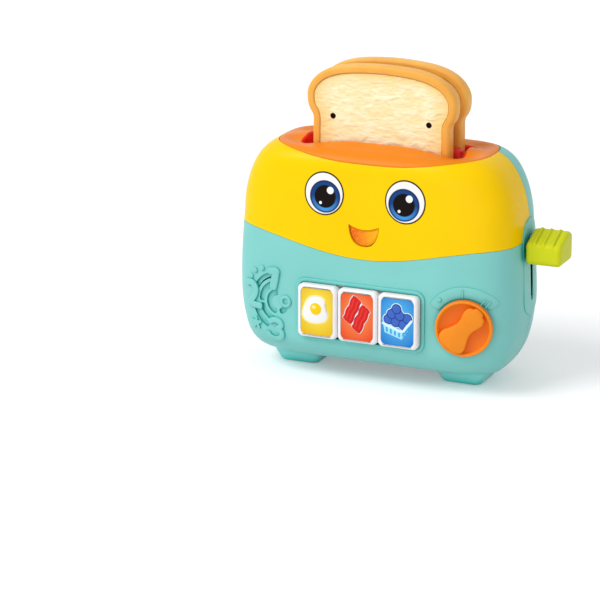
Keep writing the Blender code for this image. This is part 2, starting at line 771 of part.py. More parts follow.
def make_front_shell():
    """Lower front half: wall, raised frames, posts, and holes for what it carries."""
    shell = join(copy_of(OUTER, "front_shell"), PANEL_PLATE)
    frame_outline = button_row_outline(BUTTON_FRAME_WIDTH, BUTTON_CORNER + BUTTON_FRAME_WIDTH)
    frame_ring = prism("button_frame", frame_outline, HALF_DEPTH, front_frame(-HALF_DEPTH / 2))
    fan_outline = arc_band(FAN_INNER_RADIUS, FAN_OUTER_RADIUS, FAN_START_ANGLE, FAN_END_ANGLE,
                           FAN_CORNER_STEPS)
    fan = prism("dial_fan", fan_outline, OVERRUN, DIAL_FRAME @ Matrix.Translation((0, 0, -OVERRUN / 2)))
    pad = rod("dial_pad", DIAL_RADIUS - DIAL_PAD_MARGIN, HALF_DEPTH / 4, DIAL_FRAME.translation,
              -(DIAL_FRAME.to_3x3() @ Vector((0, 0, 1))), 32)
    join(shell, keep(frame_ring, RAISED), keep(fan, RAISED), pad)
    cut(shell, INNER)
    seam_bosses = [case_boss(name + "_front_boss", x, z, SEAM_Y - GAP / 2, -1)
                   for name, x, z in case_screw_places() if z < COVER_LOW_Z]
    ring = rod("speaker_ring", SPEAKER_RADIUS + GAP + SPEAKER_RING_WALL, SPEAKER_SETBACK + SPEAKER_RIM,
               GRILLE_FRAME @ Vector((0, 0, -SPEAKER_SETBACK - SPEAKER_RIM)),
               GRILLE_FRAME.to_3x3() @ Vector((0, 0, 1)), 28)
    ring_hole = rod("speaker_ring_hole", SPEAKER_RADIUS + GAP, SPEAKER_SETBACK + SPEAKER_RIM + OVERRUN,
                    GRILLE_FRAME @ Vector((0, 0, -SPEAKER_SETBACK - SPEAKER_RIM - OVERRUN / 2)),
                    GRILLE_FRAME.to_3x3() @ Vector((0, 0, 1)), 28)
    cut(keep(ring, CORE), ring_hole)
    posts = []
    for side in (-1, 1):
        for end in (-1, 1):
            start = (BOARD_CENTRE_X + side * POST_SPREAD_X, BOARD_FRONT_Y - GAP,
                     BUTTON_ROW_Z + end * POST_SPREAD_Z)
            posts.append(keep(rod("board_post", POST_RADIUS, HALF_DEPTH / 2, start, (0, -1, 0), 10), CORE))
    join(shell, *seam_bosses, *posts)
    join(shell, ring)
    window = prism("button_window", button_row_outline(BUTTON_WINDOW_CLEARANCE, BUTTON_CORNER),
                   OVERRUN, front_frame(-HALF_DEPTH + OVERRUN / 2))
    shaft_hole = rod("dial_shaft_hole", DIAL_SHAFT_RADIUS + GAP, 2 * OVERRUN,
                     DIAL_FRAME @ Vector((0, 0, -OVERRUN)), DIAL_FRAME.to_3x3() @ Vector((0, 0, 1)))
    cut(shell, behind_seam("front_cut", -GAP / 2), cover_region("front_cover_cut", -GAP / 2), LEVER_SLOT,
        window, shaft_hole)
    for index, (start, end) in enumerate(GRILLE_ARCS):
        radius = GRILLE_RADII[index // 2]
        band = arc_band(radius - GRILLE_SLOT_WIDTH / 2, radius + GRILLE_SLOT_WIDTH / 2,
                        math.radians(start), math.radians(end), GRILLE_ARC_STEPS, True)
        slot_frame = GRILLE_FRAME @ Matrix.Translation((0, 0, WALL - SPEAKER_SETBACK))
        cut(shell, prism("sound_slot", band, SPEAKER_SETBACK, slot_frame))
    for name, x, z in case_screw_places():
        if z < COVER_LOW_Z:
            cut(shell, rod(name + "_pilot", CASE_SCREW_RADIUS + GAP, CASE_SCREW_LENGTH,
                           (x, SEAM_Y + GAP, z), (0, -1, 0), 10))
    for side in (-1, 1):
        start = (BOARD_CENTRE_X + side * POST_SPREAD_X, BOARD_FRONT_Y, BUTTON_ROW_Z + POST_SPREAD_Z)
        cut(shell, rod("board_screw_pilot", BOARD_SCREW_RADIUS + GAP, BOARD_SCREW_REACH + GAP, start,
                       (0, -1, 0), 8))
    return finish(shell, "front_shell", material("teal_plastic", TEAL, 0.38))


def make_face_cover():
    """Yellow upper front, with the mouth hole and the posts inside."""
    cover = cut(copy_of(OUTER, "face_cover"), INNER)
    bosses = [case_boss(name + "_front_boss", x, z, SEAM_Y - GAP / 2, -1)
              for name, x, z in case_screw_places() if z > COVER_LOW_Z]
    posts = [keep(rod("led_post", POST_RADIUS, HALF_DEPTH / 2,
                      (side * LED_POST_X, LED_BOARD_Y - GAP, LED_POST_Z), (0, -1, 0), 10), CORE)
             for side in (-1, 1)]
    join(cover, *bosses, *posts)
    mouth = prism("mouth_hole", mouth_outline(0), OVERRUN, front_frame(-HALF_DEPTH + OVERRUN / 2))
    keep(cover, cover_region("cover_region", GAP / 2))
    cut(cover, insert_block("cover_top_hole", GAP / 2, INSERT_BOTTOM_Z - GAP), mouth)
    for name, x, z in case_screw_places():
        if z > COVER_LOW_Z:
            cut(cover, rod(name + "_pilot", CASE_SCREW_RADIUS + GAP, CASE_SCREW_LENGTH,
                           (x, SEAM_Y + GAP, z), (0, -1, 0), 10))
    return finish(cover, "face_cover", material("yellow_plastic", YELLOW, 0.34))


def make_rear_shell():
    """Rear half: wall, battery bay and screw posts."""
    shell = cut(join(copy_of(OUTER, "rear_shell"), PANEL_PLATE), INNER)
    bosses = [case_boss(name + "_rear_boss", x, z, SEAM_Y + GAP / 2, 1) for name, x, z in case_screw_places()]
    block = box("bay_block",
                (-DOOR_HALF_LENGTH - BAY_WALL, BAY_FLOOR_Y - BAY_WALL, BAY_BOTTOM_Z - BAY_LEDGE - BAY_WALL),
                (DOOR_HALF_LENGTH + DOOR_TAB + BAY_WALL, HALF_DEPTH + OVERRUN,
                 BAY_TOP_Z + BAY_LEDGE + BAY_WALL))
    join(shell, *bosses, keep(block, CORE))
    bay = box("battery_bay", (-BAY_HALF_LENGTH, BAY_FLOOR_Y, BAY_BOTTOM_Z),
              (BAY_HALF_LENGTH, HALF_DEPTH + OVERRUN, BAY_TOP_Z))
    cut(shell, before_seam("rear_cut", -GAP / 2),
        insert_block("rear_top_hole", GAP / 2, INSERT_BOTTOM_Z - GAP), LEVER_SLOT, bay,
        door_block("door_recess", GAP, DOOR_SEAT_Y - GAP, OVERRUN))
    for name, x, z in case_screw_places():
        seat = (x, screw_head_y(x, z) - CASE_SCREW_HEAD_HEIGHT, z)
        head = rod(name + "_sink", CASE_SCREW_HEAD_RADIUS + GAP, OVERRUN, seat, (0, 1, 0), 16)
        bore = rod(name + "_bore", CASE_SCREW_RADIUS + GAP, HALF_DEPTH, (x, SEAM_Y - GAP, z), (0, 1, 0), 10)
        cut(shell, head, bore)
    hole_depth = DOOR_SCREW_REACH + GAP
    cut(shell, rod("door_screw_pilot", DOOR_SCREW_RADIUS + GAP, hole_depth + DOOR_SEAT_Y,
                   (DOOR_SCREW_X, DOOR_SEAT_Y - hole_depth, BAY_MIDDLE_Z), (0, 1, 0), 16))
    return finish(shell, "rear_shell", material("teal_plastic", TEAL, 0.38))


def door_block(name, clearance, start_y, depth):
    """The battery door's outline, given a thickness behind the seat."""
    height = BAY_TOP_Z - BAY_BOTTOM_Z + 2 * BAY_LEDGE + 2 * clearance
    length = 2 * DOOR_HALF_LENGTH + DOOR_TAB + 2 * clearance
    outline = rounded_rectangle(length, height, DOOR_CORNER, (DOOR_TAB / 2, BAY_MIDDLE_Z))
    return prism(name, outline, depth, front_frame(start_y + depth))


def make_feet():
    """Two feet that follow the underside of the body."""
    for name, side in (("left_foot", -1), ("right_foot", 1)):
        block = bevel(foot_block(name + "_block", side), FOOT_ROUND, 2)
        finish(cut(block, SEAT), name, material("teal_plastic", TEAL, 0.38))


def top_surface(x, y):
    """Height of the body's outer surface over a place in plan."""
    return OUTER_TREE.ray_cast(Vector((x, y, BODY_TOP + OVERRUN)), Vector((0, 0, -1)))[0].z


def over_opening(x, y, margin):
    """True over the bread opening, two slots joined along their middle, grown by a margin."""
    if abs(x) < SLOT_LENGTH / 2 - SLOT_NOTCH + margin and abs(y) < SLICE_PITCH / 2:
        return True
    past_end = max(abs(x) - (SLOT_LENGTH / 2 - SLOT_CORNER), 0)
    past_side = max(abs(abs(y) - SLICE_PITCH / 2) - (SLOT_WIDTH / 2 - SLOT_CORNER), 0)
    return math.hypot(past_end, past_side) < SLOT_CORNER + margin


def opening_bearings():
    """Directions from the middle that space points evenly along the bread opening's edge."""
    end_x = SLOT_LENGTH / 2
    side_y = SLICE_PITCH / 2 + SLOT_WIDTH / 2
    quarter = [(end_x, side_y * OPENING_END_SHARE * step / OPENING_END_STEPS)
               for step in range(OPENING_END_STEPS)]
    corner_x = end_x - SLOT_CORNER
    corner_y = side_y - SLOT_CORNER
    quarter += [(corner_x + SLOT_CORNER * math.cos(turn), corner_y + SLOT_CORNER * math.sin(turn))
                for turn in (math.pi / 2 * step / LIP_STEPS for step in range(LIP_STEPS + 1))]
    quarter += [(corner_x * (1 - step / OPENING_SIDE_STEPS), side_y) for step in range(1, OPENING_SIDE_STEPS)]
    bearings = [math.atan2(y, x) for x, y in quarter]
    half = bearings + [math.pi / 2] + [math.pi - bearing for bearing in reversed(bearings)]
    return half + [-bearing for bearing in reversed(half[1:-1])]


def reach(bearing, inside):
    """Distance from the middle at which a bearing first leaves a region in plan."""
    x, y = math.cos(bearing), math.sin(bearing)
    near = 0
    while inside(x * (near + SLOT_CORNER / 4), y * (near + SLOT_CORNER / 4)):
        near += SLOT_CORNER / 4
    far = near + SLOT_CORNER / 4
    for _ in range(20):
        middle = (near + far) / 2
        near, far = (middle, far) if inside(x * middle, y * middle) else (near, middle)
    return near


def over_insert(x, y, margin):
    """True over the orange plate, grown by a margin."""
    return ((abs(x) / (INSERT_WIDTH / 2 + margin)) ** INSERT_SHARE
            + (abs(y) / (INSERT_DEPTH / 2 + margin)) ** INSERT_SHARE) < 1


def make_top_insert():
    """Orange domed plate with a skirt and one bread opening, whose lip rolls down into the toaster."""
    bearings = opening_bearings()
    edge = [reach(bearing, lambda x, y: over_insert(x, y, -GAP / 2)) for bearing in bearings]
    skirt = [reach(bearing, lambda x, y: over_insert(x, y, -GAP / 2 - INSERT_WALL)) for bearing in bearings]
    lip_turns = [math.pi / 2 * step / LIP_STEPS for step in range(LIP_STEPS + 1)]
    lips = [[reach(bearing, lambda x, y: over_opening(x, y, LIP_ROUND * (1 - math.sin(turn))))
             for bearing in bearings] for turn in lip_turns]
    back = [reach(bearing, lambda x, y: over_opening(x, y, INSERT_WALL)) for bearing in bearings]
    shape = bmesh.new()

    def ring(distances, height):
        points = [(math.cos(bearing) * distance, math.sin(bearing) * distance)
                  for bearing, distance in zip(bearings, distances)]
        return [shape.verts.new((x, y, height(x, y))) for x, y in points]

    def between(share):
        return [far + (near - far) * share for far, near in zip(edge, lips[0])]

    rings = [ring(edge, top_surface)]
    rings += [ring(between(share), top_surface) for share in (0.25, 0.5, 0.75)]
    for turn, lip in zip(lip_turns, lips):
        fall = LIP_ROUND * (1 - math.cos(turn))
        rings.append(ring(lip, lambda x, y: top_surface(x, y) - fall))
    rings.append(ring(lips[-1], lambda x, y: LIP_BOTTOM_Z))
    rings.append(ring(back, lambda x, y: LIP_BOTTOM_Z))
    rings.append(ring(back, lambda x, y: top_surface(x, y) - INSERT_WALL - LIP_ROUND / 4))
    rings.append(ring(lips[0], lambda x, y: top_surface(x, y) - INSERT_WALL))
    rings.append(ring(between(0.5), lambda x, y: top_surface(x, y) - INSERT_WALL))
    rings.append(ring(skirt, lambda x, y: top_surface(x, y) - INSERT_WALL))
    rings.append(ring(skirt, lambda x, y: INSERT_BOTTOM_Z))
    rings.append(ring(edge, lambda x, y: INSERT_BOTTOM_Z))
    count = len(bearings)
    for outer, inner in zip(rings, rings[1:] + rings[:1]):
        for index in range(count):
            following = (index + 1) % count
            shape.faces.new((outer[index], outer[following], inner[following], inner[index]))
    bmesh.ops.recalc_face_normals(shape, faces=shape.faces)
    plate = from_bmesh("top_insert_plate", shape)
    return finish(plate, "top_insert", material("orange_plastic", ORANGE, 0.34))


def make_toast_well():
    """Red liner: two pockets with a floor and arm slots, and a divider that shows in the opening."""
    half_depth = SLICE_PITCH / 2 + SLOT_WIDTH / 2 + GAP + WELL_WALL
    half_divider = SLICE_PITCH / 2 - SLOT_WIDTH / 2 - GAP
    well = box("toast_well_block", (-WELL_HALF_LENGTH, -half_depth, WELL_FLOOR_Z),
               (WELL_HALF_LENGTH, half_depth, LIP_BOTTOM_Z - GAP))
    for name, y in slot_centres():
        half_slot = SLOT_WIDTH / 2 + GAP
        pocket = box(name + "_pocket", (-SLOT_LENGTH / 2 - GAP, y - half_slot, WELL_FLOOR_Z + WELL_WALL),
                     (SLOT_LENGTH / 2 + GAP, y + half_slot, BODY_TOP + OVERRUN))
        cut(well, pocket, arm_slot(name, y))
    half_ridge = SLOT_LENGTH / 2 - SLOT_NOTCH - 2 * GAP
    ridge = box("divider_ridge", (-half_ridge, -half_divider, WELL_FLOOR_Z + WELL_WALL / 2),
                (half_ridge, half_divider, DIVIDER_TOP_Z))
    join(well, bevel(ridge, DIVIDER_ROUND, 3))
    return finish(well, "toast_well", material("red_plastic", RED, 0.45))


def arm_slot(name, y):
    """The upright slot that one lever arm travels in."""
    half_slot = ARM_SLOT_WIDTH / 2
    low = (SLOT_LENGTH / 2 - WELL_WALL, y - half_slot, ARM_BOTTOM_Z - LEVER_TRAVEL - ARM_SLOT_MARGIN)
    high = (WELL_HALF_LENGTH + 3 * WELL_WALL, y + half_slot, ARM_BOTTOM_Z + ARM_HEIGHT + ARM_SLOT_MARGIN)
    return box(name + "_arm_slot", low, high)


def make_guide_bracket():
    """The bracket at the well's end that holds both guide rods."""
    half_depth = SLICE_PITCH / 2 + SLOT_WIDTH / 2 + GAP + WELL_WALL
    start_x = WELL_HALF_LENGTH + GAP
    bracket = box("guide_bracket_web", (start_x, -half_depth, LOW_FLANGE_Z),
                  (start_x + WELL_WALL, half_depth, HIGH_FLANGE_Z + FLANGE_THICKNESS))
    end_x = start_x + FLANGE_REACH
    flanges = [box(name, (start_x, -half_depth, z), (end_x, half_depth, z + FLANGE_THICKNESS))
               for name, z in (("low_flange", LOW_FLANGE_Z), ("high_flange", HIGH_FLANGE_Z))]
    keep(join(bracket, *flanges), CLEAR)
    for name, y in slot_centres():
        cut(bracket, arm_slot(name, y))
    for side in (-1, 1):
        cut(bracket, rod("rod_hole", ROD_RADIUS + GAP, BODY_TOP, (ROD_X, side * ROD_Y, 0), (0, 0, 1), 12))
    return finish(bracket, "guide_bracket", material("black_plastic", BLACK, 0.5))


def make_lever():
    """Carriage with its two arms and neck, the outside knob, the rods and the spring."""
    block = box("lever_carriage_block", (BLOCK_START_X, -BLOCK_DEPTH / 2, BLOCK_BOTTOM_Z),
                (BLOCK_START_X + BLOCK_LENGTH, BLOCK_DEPTH / 2, BLOCK_BOTTOM_Z + BLOCK_HEIGHT))
    neck = box("lever_neck", (BLOCK_START_X, LEVER_Y - NECK_THICKNESS / 2, NECK_BOTTOM_Z),
               (HALF_WIDTH + KNOB_REACH / 2, LEVER_Y + NECK_THICKNESS / 2, NECK_BOTTOM_Z + NECK_HEIGHT))
    arms = [box(name + "_arm", (-ARM_END_X, y - ARM_WIDTH / 2, ARM_BOTTOM_Z),
                (BLOCK_START_X + BLOCK_LENGTH / 2, y + ARM_WIDTH / 2, ARM_BOTTOM_Z + ARM_HEIGHT))
            for name, y in slot_centres()]
    join(block, neck, *arms)
    for side in (-1, 1):
        cut(block, rod("carriage_bore", ROD_RADIUS + ROD_CLEARANCE, BODY_TOP,
                       (ROD_X, side * ROD_Y, 0), (0, 0, 1), 12))
    finish(block, "lever_carriage", material("white_plastic", WHITE, 0.45))

    knob = knob_block("lever_knob_block", 0, HALF_WIDTH + KNOB_START, KNOB_END_X)
    bevel(knob, KNOB_ROUND, 3)
    first_rib_x = (HALF_WIDTH + KNOB_START + KNOB_END_X - (KNOB_RIB_COUNT - 1) * KNOB_RIB_PITCH) / 2
    for index in range(KNOB_RIB_COUNT):
        rib_x = first_rib_x + index * KNOB_RIB_PITCH
        rib = knob_block("knob_rib", KNOB_RIB_RISE, rib_x - KNOB_RIB_WIDTH / 2, rib_x + KNOB_RIB_WIDTH / 2)
        upper = box("rib_space", (HALF_WIDTH, -HALF_DEPTH, (KNOB_FRONT_TOP_Z + KNOB_TOP_Z) / 2),
                    (KNOB_END_X + OVERRUN, KNOB_Y + KNOB_DEPTH / 3, BODY_TOP))
        join(knob, keep(rib, upper))
    pocket = box("knob_pocket", (HALF_WIDTH, LEVER_Y - NECK_THICKNESS / 2 - GAP, NECK_BOTTOM_Z - GAP),
                 (HALF_WIDTH + KNOB_REACH / 2 + GAP, LEVER_Y + NECK_THICKNESS / 2 + GAP,
                  NECK_BOTTOM_Z + NECK_HEIGHT + GAP))
    cut(knob, pocket)
    finish(knob, "lever_knob", material("lime_plastic", LIME, 0.38))

    for name, side in (("front_guide_rod", -1), ("rear_guide_rod", 1)):
        start = (ROD_X, side * ROD_Y, LOW_FLANGE_Z - FLANGE_THICKNESS)
        length = HIGH_FLANGE_Z - LOW_FLANGE_Z + 3 * FLANGE_THICKNESS
        finish(rod(name, ROD_RADIUS, length, start, (0, 0, 1), 12), name, material("steel", STEEL, 0.3, 1))
    finish(coil_spring(), "return_spring", material("steel", STEEL, 0.3, 1))


def knob_block(name, rise, start_x, end_x):
    """The lever knob's side outline: an upright front, a slope up to the top and a flat rear."""
    front = KNOB_Y - KNOB_DEPTH / 2 - rise
    rear = KNOB_Y + KNOB_DEPTH / 2
    crest = KNOB_Y + KNOB_DEPTH * KNOB_CREST_SHARE
    outline = [(front, KNOB_BOTTOM_Z), (rear, KNOB_BOTTOM_Z), (rear, KNOB_REAR_TOP_Z + rise),
               (crest, KNOB_TOP_Z + rise), (front, KNOB_FRONT_TOP_Z + rise)]
    return prism(name, outline, end_x - start_x, side_frame(start_x))


def coil_spring():
    """The carriage's return spring, a helix round the rear rod between the low flange and the block."""
    low = LOW_FLANGE_Z + FLANGE_THICKNESS + GAP + SPRING_WIRE / 2
    high = BLOCK_BOTTOM_Z - GAP - SPRING_WIRE / 2
    count = SPRING_TURNS * SPRING_POINTS
    curve = bpy.data.curves.new("return_spring", 'CURVE')
    curve.dimensions = '3D'
    curve.bevel_depth = SPRING_WIRE / 2
    curve.bevel_resolution = 0
    curve.use_fill_caps = True
    spline = curve.splines.new('POLY')
    spline.points.add(count)
    for index, point in enumerate(spline.points):
        angle = math.tau * index / SPRING_POINTS
        point.co = (ROD_X + SPRING_RADIUS * math.cos(angle), ROD_Y + SPRING_RADIUS * math.sin(angle),
                    low + (high - low) * index / count, 1)
    drawn = bpy.data.objects.new("return_spring_curve", curve)
    CUTTERS.objects.link(drawn)
    bpy.context.view_layer.update()
    mesh = bpy.data.meshes.new_from_object(drawn.evaluated_get(bpy.context.evaluated_depsgraph_get()))
    bpy.data.objects.remove(drawn)
    shape = bmesh.new()
    shape.from_mesh(mesh)
    bpy.data.meshes.remove(mesh)
    bmesh.ops.remove_doubles(shape, verts=shape.verts, dist=GAP / 100)
    return from_bmesh("return_spring_wire", shape)


def slice_outline(inset):
    """Bread slice outline: a square body, a waist and a rounded crown, drawn in by an inset."""
    half_neck = SLICE_NECK_WIDTH / 2 - inset
    half_bulge = SLICE_BULGE_WIDTH / 2 - inset
    corner_x = half_neck - SLICE_CORNER
    corner_z = SLICE_BOTTOM_Z + inset + SLICE_CORNER
    right = []
    for step in range(SLICE_CORNER_STEPS + 1):
        angle = -math.pi / 2 * (1 - step / SLICE_CORNER_STEPS)
        right.append((corner_x + SLICE_CORNER * math.cos(angle), corner_z + SLICE_CORNER * math.sin(angle)))
    neck_z = SLICE_NECK_Z - inset * NECK_LIFT_SHARE
    rise = SLICE_BOTTOM_Z + SLICE_HEIGHT - inset - neck_z
    right += [(half_neck + (half_bulge - half_neck) * out, neck_z + rise * up) for out, up in SHOULDER_SHARES]
    right += [(half_bulge * out, neck_z + rise * up) for out, up in CROWN_SHARES]
    left = [(-x, z) for x, z in reversed(right) if x > GAP]
    return right + left


def make_slices():
    """Two slices, each a rounded crust ring round a pale core."""
    for name, y in slot_centres():
        thickness = SLICE_THICKNESS
        crust = prism(name + "_crust_block", slice_outline(0), thickness, front_frame(y + thickness / 2))
        bevel(crust, CRUST_ROUND, 2)
        hole = prism(name + "_crust_hole", slice_outline(CRUST_WIDTH), thickness + OVERRUN,
                     front_frame(y + (thickness + OVERRUN) / 2))
        cut(crust, hole)
        finish(crust, name + "_slice_crust", material("crust_plastic", CRUST, 0.5))
        core_thickness = thickness - 2 * CRUMB_INSET
        core = prism(name + "_crumb_block", slice_outline(CRUST_WIDTH + GAP), core_thickness,
                     front_frame(y + core_thickness / 2))
        for side in (-1, 1):
            dot_start = (side * DOT_X, y - core_thickness / 2 + DOT_DEPTH, DOT_Z)
            cut(core, rod(name + "_dot", DOT_RADIUS, 2 * DOT_DEPTH, dot_start, (0, -1, 0), 16))
        finish(core, name + "_slice_crumb", material("crumb_plastic", CRUMB, 0.6))


def make_buttons():
    """Three hollow caps with their inlaid labels and the rubber domes behind them."""
    colours = (("left", LABEL_YELLOW), ("middle", LABEL_RED), ("right", LABEL_BLUE))
    for index, (side, colour) in enumerate(colours):
        x = button_centre_x(index)
        centre = (x, BUTTON_ROW_Z)
        flange_front = front_y(button_centre_x(0) - BUTTON_WIDTH / 2, BUTTON_ROW_Z, WALL) + 3 * GAP
        flange_back = flange_front + BUTTON_FLANGE_THICKNESS
        cap = prism(side + "_cap", rounded_rectangle(BUTTON_WIDTH, BUTTON_HEIGHT, BUTTON_CORNER, centre),
                    flange_back - BUTTON_FACE_Y, front_frame(flange_back))
        bevel(cap, BUTTON_ROUND, 2, math.radians(60))
        flange_height = BUTTON_HEIGHT + 2 * BUTTON_FLANGE
        flange_outline = rounded_rectangle(BUTTON_WIDTH, flange_height, BUTTON_WALL, centre, 2)
        flange = prism(side + "_flange", flange_outline, BUTTON_FLANGE_THICKNESS, front_frame(flange_back))
        hollow_outline = rounded_rectangle(BUTTON_WIDTH - 2 * BUTTON_WALL, BUTTON_HEIGHT - 2 * BUTTON_WALL,
                                           BUTTON_WALL, centre, 2)
        hollow_depth = flange_back - BUTTON_FACE_Y - BUTTON_WALL
        hollow = prism(side + "_hollow", hollow_outline, hollow_depth + OVERRUN,
                       front_frame(flange_back + OVERRUN))
        stem = rod(side + "_stem", BUTTON_STEM_RADIUS, BUTTON_STEM_END_Y - BUTTON_FACE_Y - BUTTON_WALL / 2,
                   (x, BUTTON_STEM_END_Y, BUTTON_ROW_Z), (0, -1, 0), 20)
        recess = prism(side + "_label_recess", label_outline(centre, 0), OVERRUN,
                       front_frame(BUTTON_FACE_Y + LABEL_THICKNESS))
        cut(join(cut(join(cap, flange), hollow), stem), recess)
        finish(cap, side + "_button", material("white_plastic", WHITE, 0.3))
        label = prism(side + "_label_plate", label_outline(centre, GAP), LABEL_THICKNESS - GAP,
                      front_frame(BUTTON_FACE_Y + LABEL_THICKNESS - GAP))
        finish(label, side + "_button_label", material(side + "_label", colour, 0.25))
        dome_length = BOARD_FRONT_Y - 2 * GAP - BUTTON_STEM_END_Y
        dome = rod(side + "_dome_cone", DOME_BASE_RADIUS, dome_length, (x, BOARD_FRONT_Y - GAP, BUTTON_ROW_Z),
                   (0, -1, 0), 24, DOME_TOP_RADIUS)
        finish(dome, side + "_rubber_dome", material("rubber", RUBBER_GREY, 0.7))


def label_outline(centre, clearance):
    """A button label's outline."""
    return rounded_rectangle(BUTTON_WIDTH - 2 * LABEL_MARGIN - 2 * clearance,
                             BUTTON_HEIGHT - 2 * LABEL_MARGIN - 2 * clearance, LABEL_CORNER, centre, 4)


def make_circuit_board():
    """The board on its posts, held by two screws."""
    board_back = BOARD_FRONT_Y + BOARD_THICKNESS
    board = box("circuit_board_plate",
                (BOARD_CENTRE_X - BOARD_WIDTH / 2, BOARD_FRONT_Y, BUTTON_ROW_Z - BOARD_HEIGHT / 2),
                (BOARD_CENTRE_X + BOARD_WIDTH / 2, board_back, BUTTON_ROW_Z + BOARD_HEIGHT / 2))
    for name, side in (("left", -1), ("right", 1)):
        x = BOARD_CENTRE_X + side * POST_SPREAD_X
        z = BUTTON_ROW_Z + POST_SPREAD_Z
        cut(board, rod(name + "_board_hole", BOARD_SCREW_RADIUS + GAP, OVERRUN,
                       (x, BOARD_FRONT_Y - OVERRUN / 2, z), (0, 1, 0), 12))
        head = rod(name + "_board_screw_head", BOARD_SCREW_HEAD_RADIUS, BOARD_SCREW_HEAD_HEIGHT,
                   (x, board_back + GAP, z), (0, 1, 0), 12)
        shank = rod(name + "_board_screw_shank", BOARD_SCREW_RADIUS,
                    BOARD_SCREW_REACH + BOARD_SCREW_HEAD_HEIGHT,
                    (x, board_back + GAP + BOARD_SCREW_HEAD_HEIGHT / 2, z), (0, -1, 0), 8)
        finish(join(head, shank), name + "_board_screw", material("steel", STEEL, 0.3, 1))
    finish(board, "circuit_board", material("board_green", BOARD_GREEN, 0.4))


def make_dial():
    """The dial with its pointer grip and shaft, and the switch that it turns."""
    disc = rod("dial_disc", DIAL_RADIUS, DIAL_THICKNESS, DIAL_FRAME @ Vector((0, 0, GAP)),
               DIAL_FRAME.to_3x3() @ Vector((0, 0, 1)), 40)
    bevel(disc, DIAL_ROUND, 2)
    turned_grip = DIAL_FRAME @ Matrix.Rotation(DIAL_REST_ANGLE, 4, 'Z')
    dish = rod("dial_dish", DISH_RADIUS - DISH_DEPTH / 2, DISH_DEPTH + GAP,
               DIAL_FRAME @ Vector((0, 0, GAP + DIAL_THICKNESS - DISH_DEPTH)),
               DIAL_FRAME.to_3x3() @ Vector((0, 0, 1)), 40, DISH_RADIUS)
    grip = prism("dial_grip", grip_outline(), DIAL_GRIP_RISE + DIAL_THICKNESS / 2,
                 turned_grip @ Matrix.Translation((0, 0, GAP + DIAL_THICKNESS / 2)))
    bevel(grip, DIAL_ROUND, 2)
    shaft = rod("dial_shaft", DIAL_SHAFT_RADIUS, DIAL_SHAFT_REACH + DIAL_THICKNESS / 2,
                DIAL_FRAME @ Vector((0, 0, -DIAL_SHAFT_REACH)), DIAL_FRAME.to_3x3() @ Vector((0, 0, 1)), 24)
    finish(join(cut(disc, dish), grip, shaft), "dial_knob", material("orange_plastic", ORANGE, 0.34))
    switch = prism("switch_body", rounded_rectangle(SWITCH_WIDTH, SWITCH_WIDTH, DIAL_ROUND), SWITCH_DEPTH,
                   DIAL_FRAME @ Matrix.Translation((0, 0, -SWITCH_START - SWITCH_DEPTH)))
    cut(switch, rod("switch_bore", DIAL_SHAFT_RADIUS + GAP, 2 * OVERRUN,
                    DIAL_FRAME @ Vector((0, 0, -OVERRUN)), DIAL_FRAME.to_3x3() @ Vector((0, 0, 1)), 24))
    finish(switch, "rotary_switch", material("black_plastic", BLACK, 0.5))


def grip_outline():
    """The pointer grip: a broad tail, a waist and a round head, along the dial frame's X."""
    length = DIAL_RADIUS - DIAL_PAD_MARGIN
    stretches = ((DIAL_GRIP_TAIL_WIDTH, GRIP_TAIL_SHARES), (DIAL_GRIP_WAIST_WIDTH, GRIP_WAIST_SHARES),
                 (DIAL_GRIP_HEAD_WIDTH, GRIP_HEAD_SHARES))
    points = [(along * length, -share * width / 2) for width, shares in stretches for along, share in shares]
    return points + [(x, -y) for x, y in reversed(points)]


def make_speaker():
    """Speaker frame with its magnet cup, and the cone in its mouth."""
    place = GRILLE_FRAME @ Matrix.Translation((0, 0, -SPEAKER_SETBACK - SPEAKER_RIM))
    profile = ((0, SPEAKER_RIM - SPEAKER_DEPTH), (SPEAKER_BACK_RADIUS, SPEAKER_RIM - SPEAKER_DEPTH),
               (SPEAKER_BACK_RADIUS, -SPEAKER_DEPTH / 3), (SPEAKER_RADIUS, 0), (SPEAKER_RADIUS, SPEAKER_RIM),
               (CONE_RADIUS + GAP, SPEAKER_RIM), (CONE_RADIUS + GAP, SPEAKER_RIM / 2),
               (CONE_INNER_RADIUS, -SPEAKER_DEPTH / 3), (0, -SPEAKER_DEPTH / 3))
    frame = turned("speaker_profile", profile, place, 36)
    finish(frame, "speaker_frame", material("black_plastic", BLACK, 0.5))
    cone_low = -SPEAKER_DEPTH / 3 + GAP + CONE_THICKNESS
    cone_high = SPEAKER_RIM / 2 + CONE_THICKNESS
    cone = ((0, cone_low), (CONE_INNER_RADIUS, cone_low), (CONE_RADIUS, cone_high),
            (CONE_RADIUS, cone_high + CONE_THICKNESS), (CONE_INNER_RADIUS, cone_low + CONE_THICKNESS),
            (0, cone_low + CONE_THICKNESS))
    finish(turned("cone_profile", cone, place, 32), "speaker_cone", material("black_paper", BLACK, 0.8))


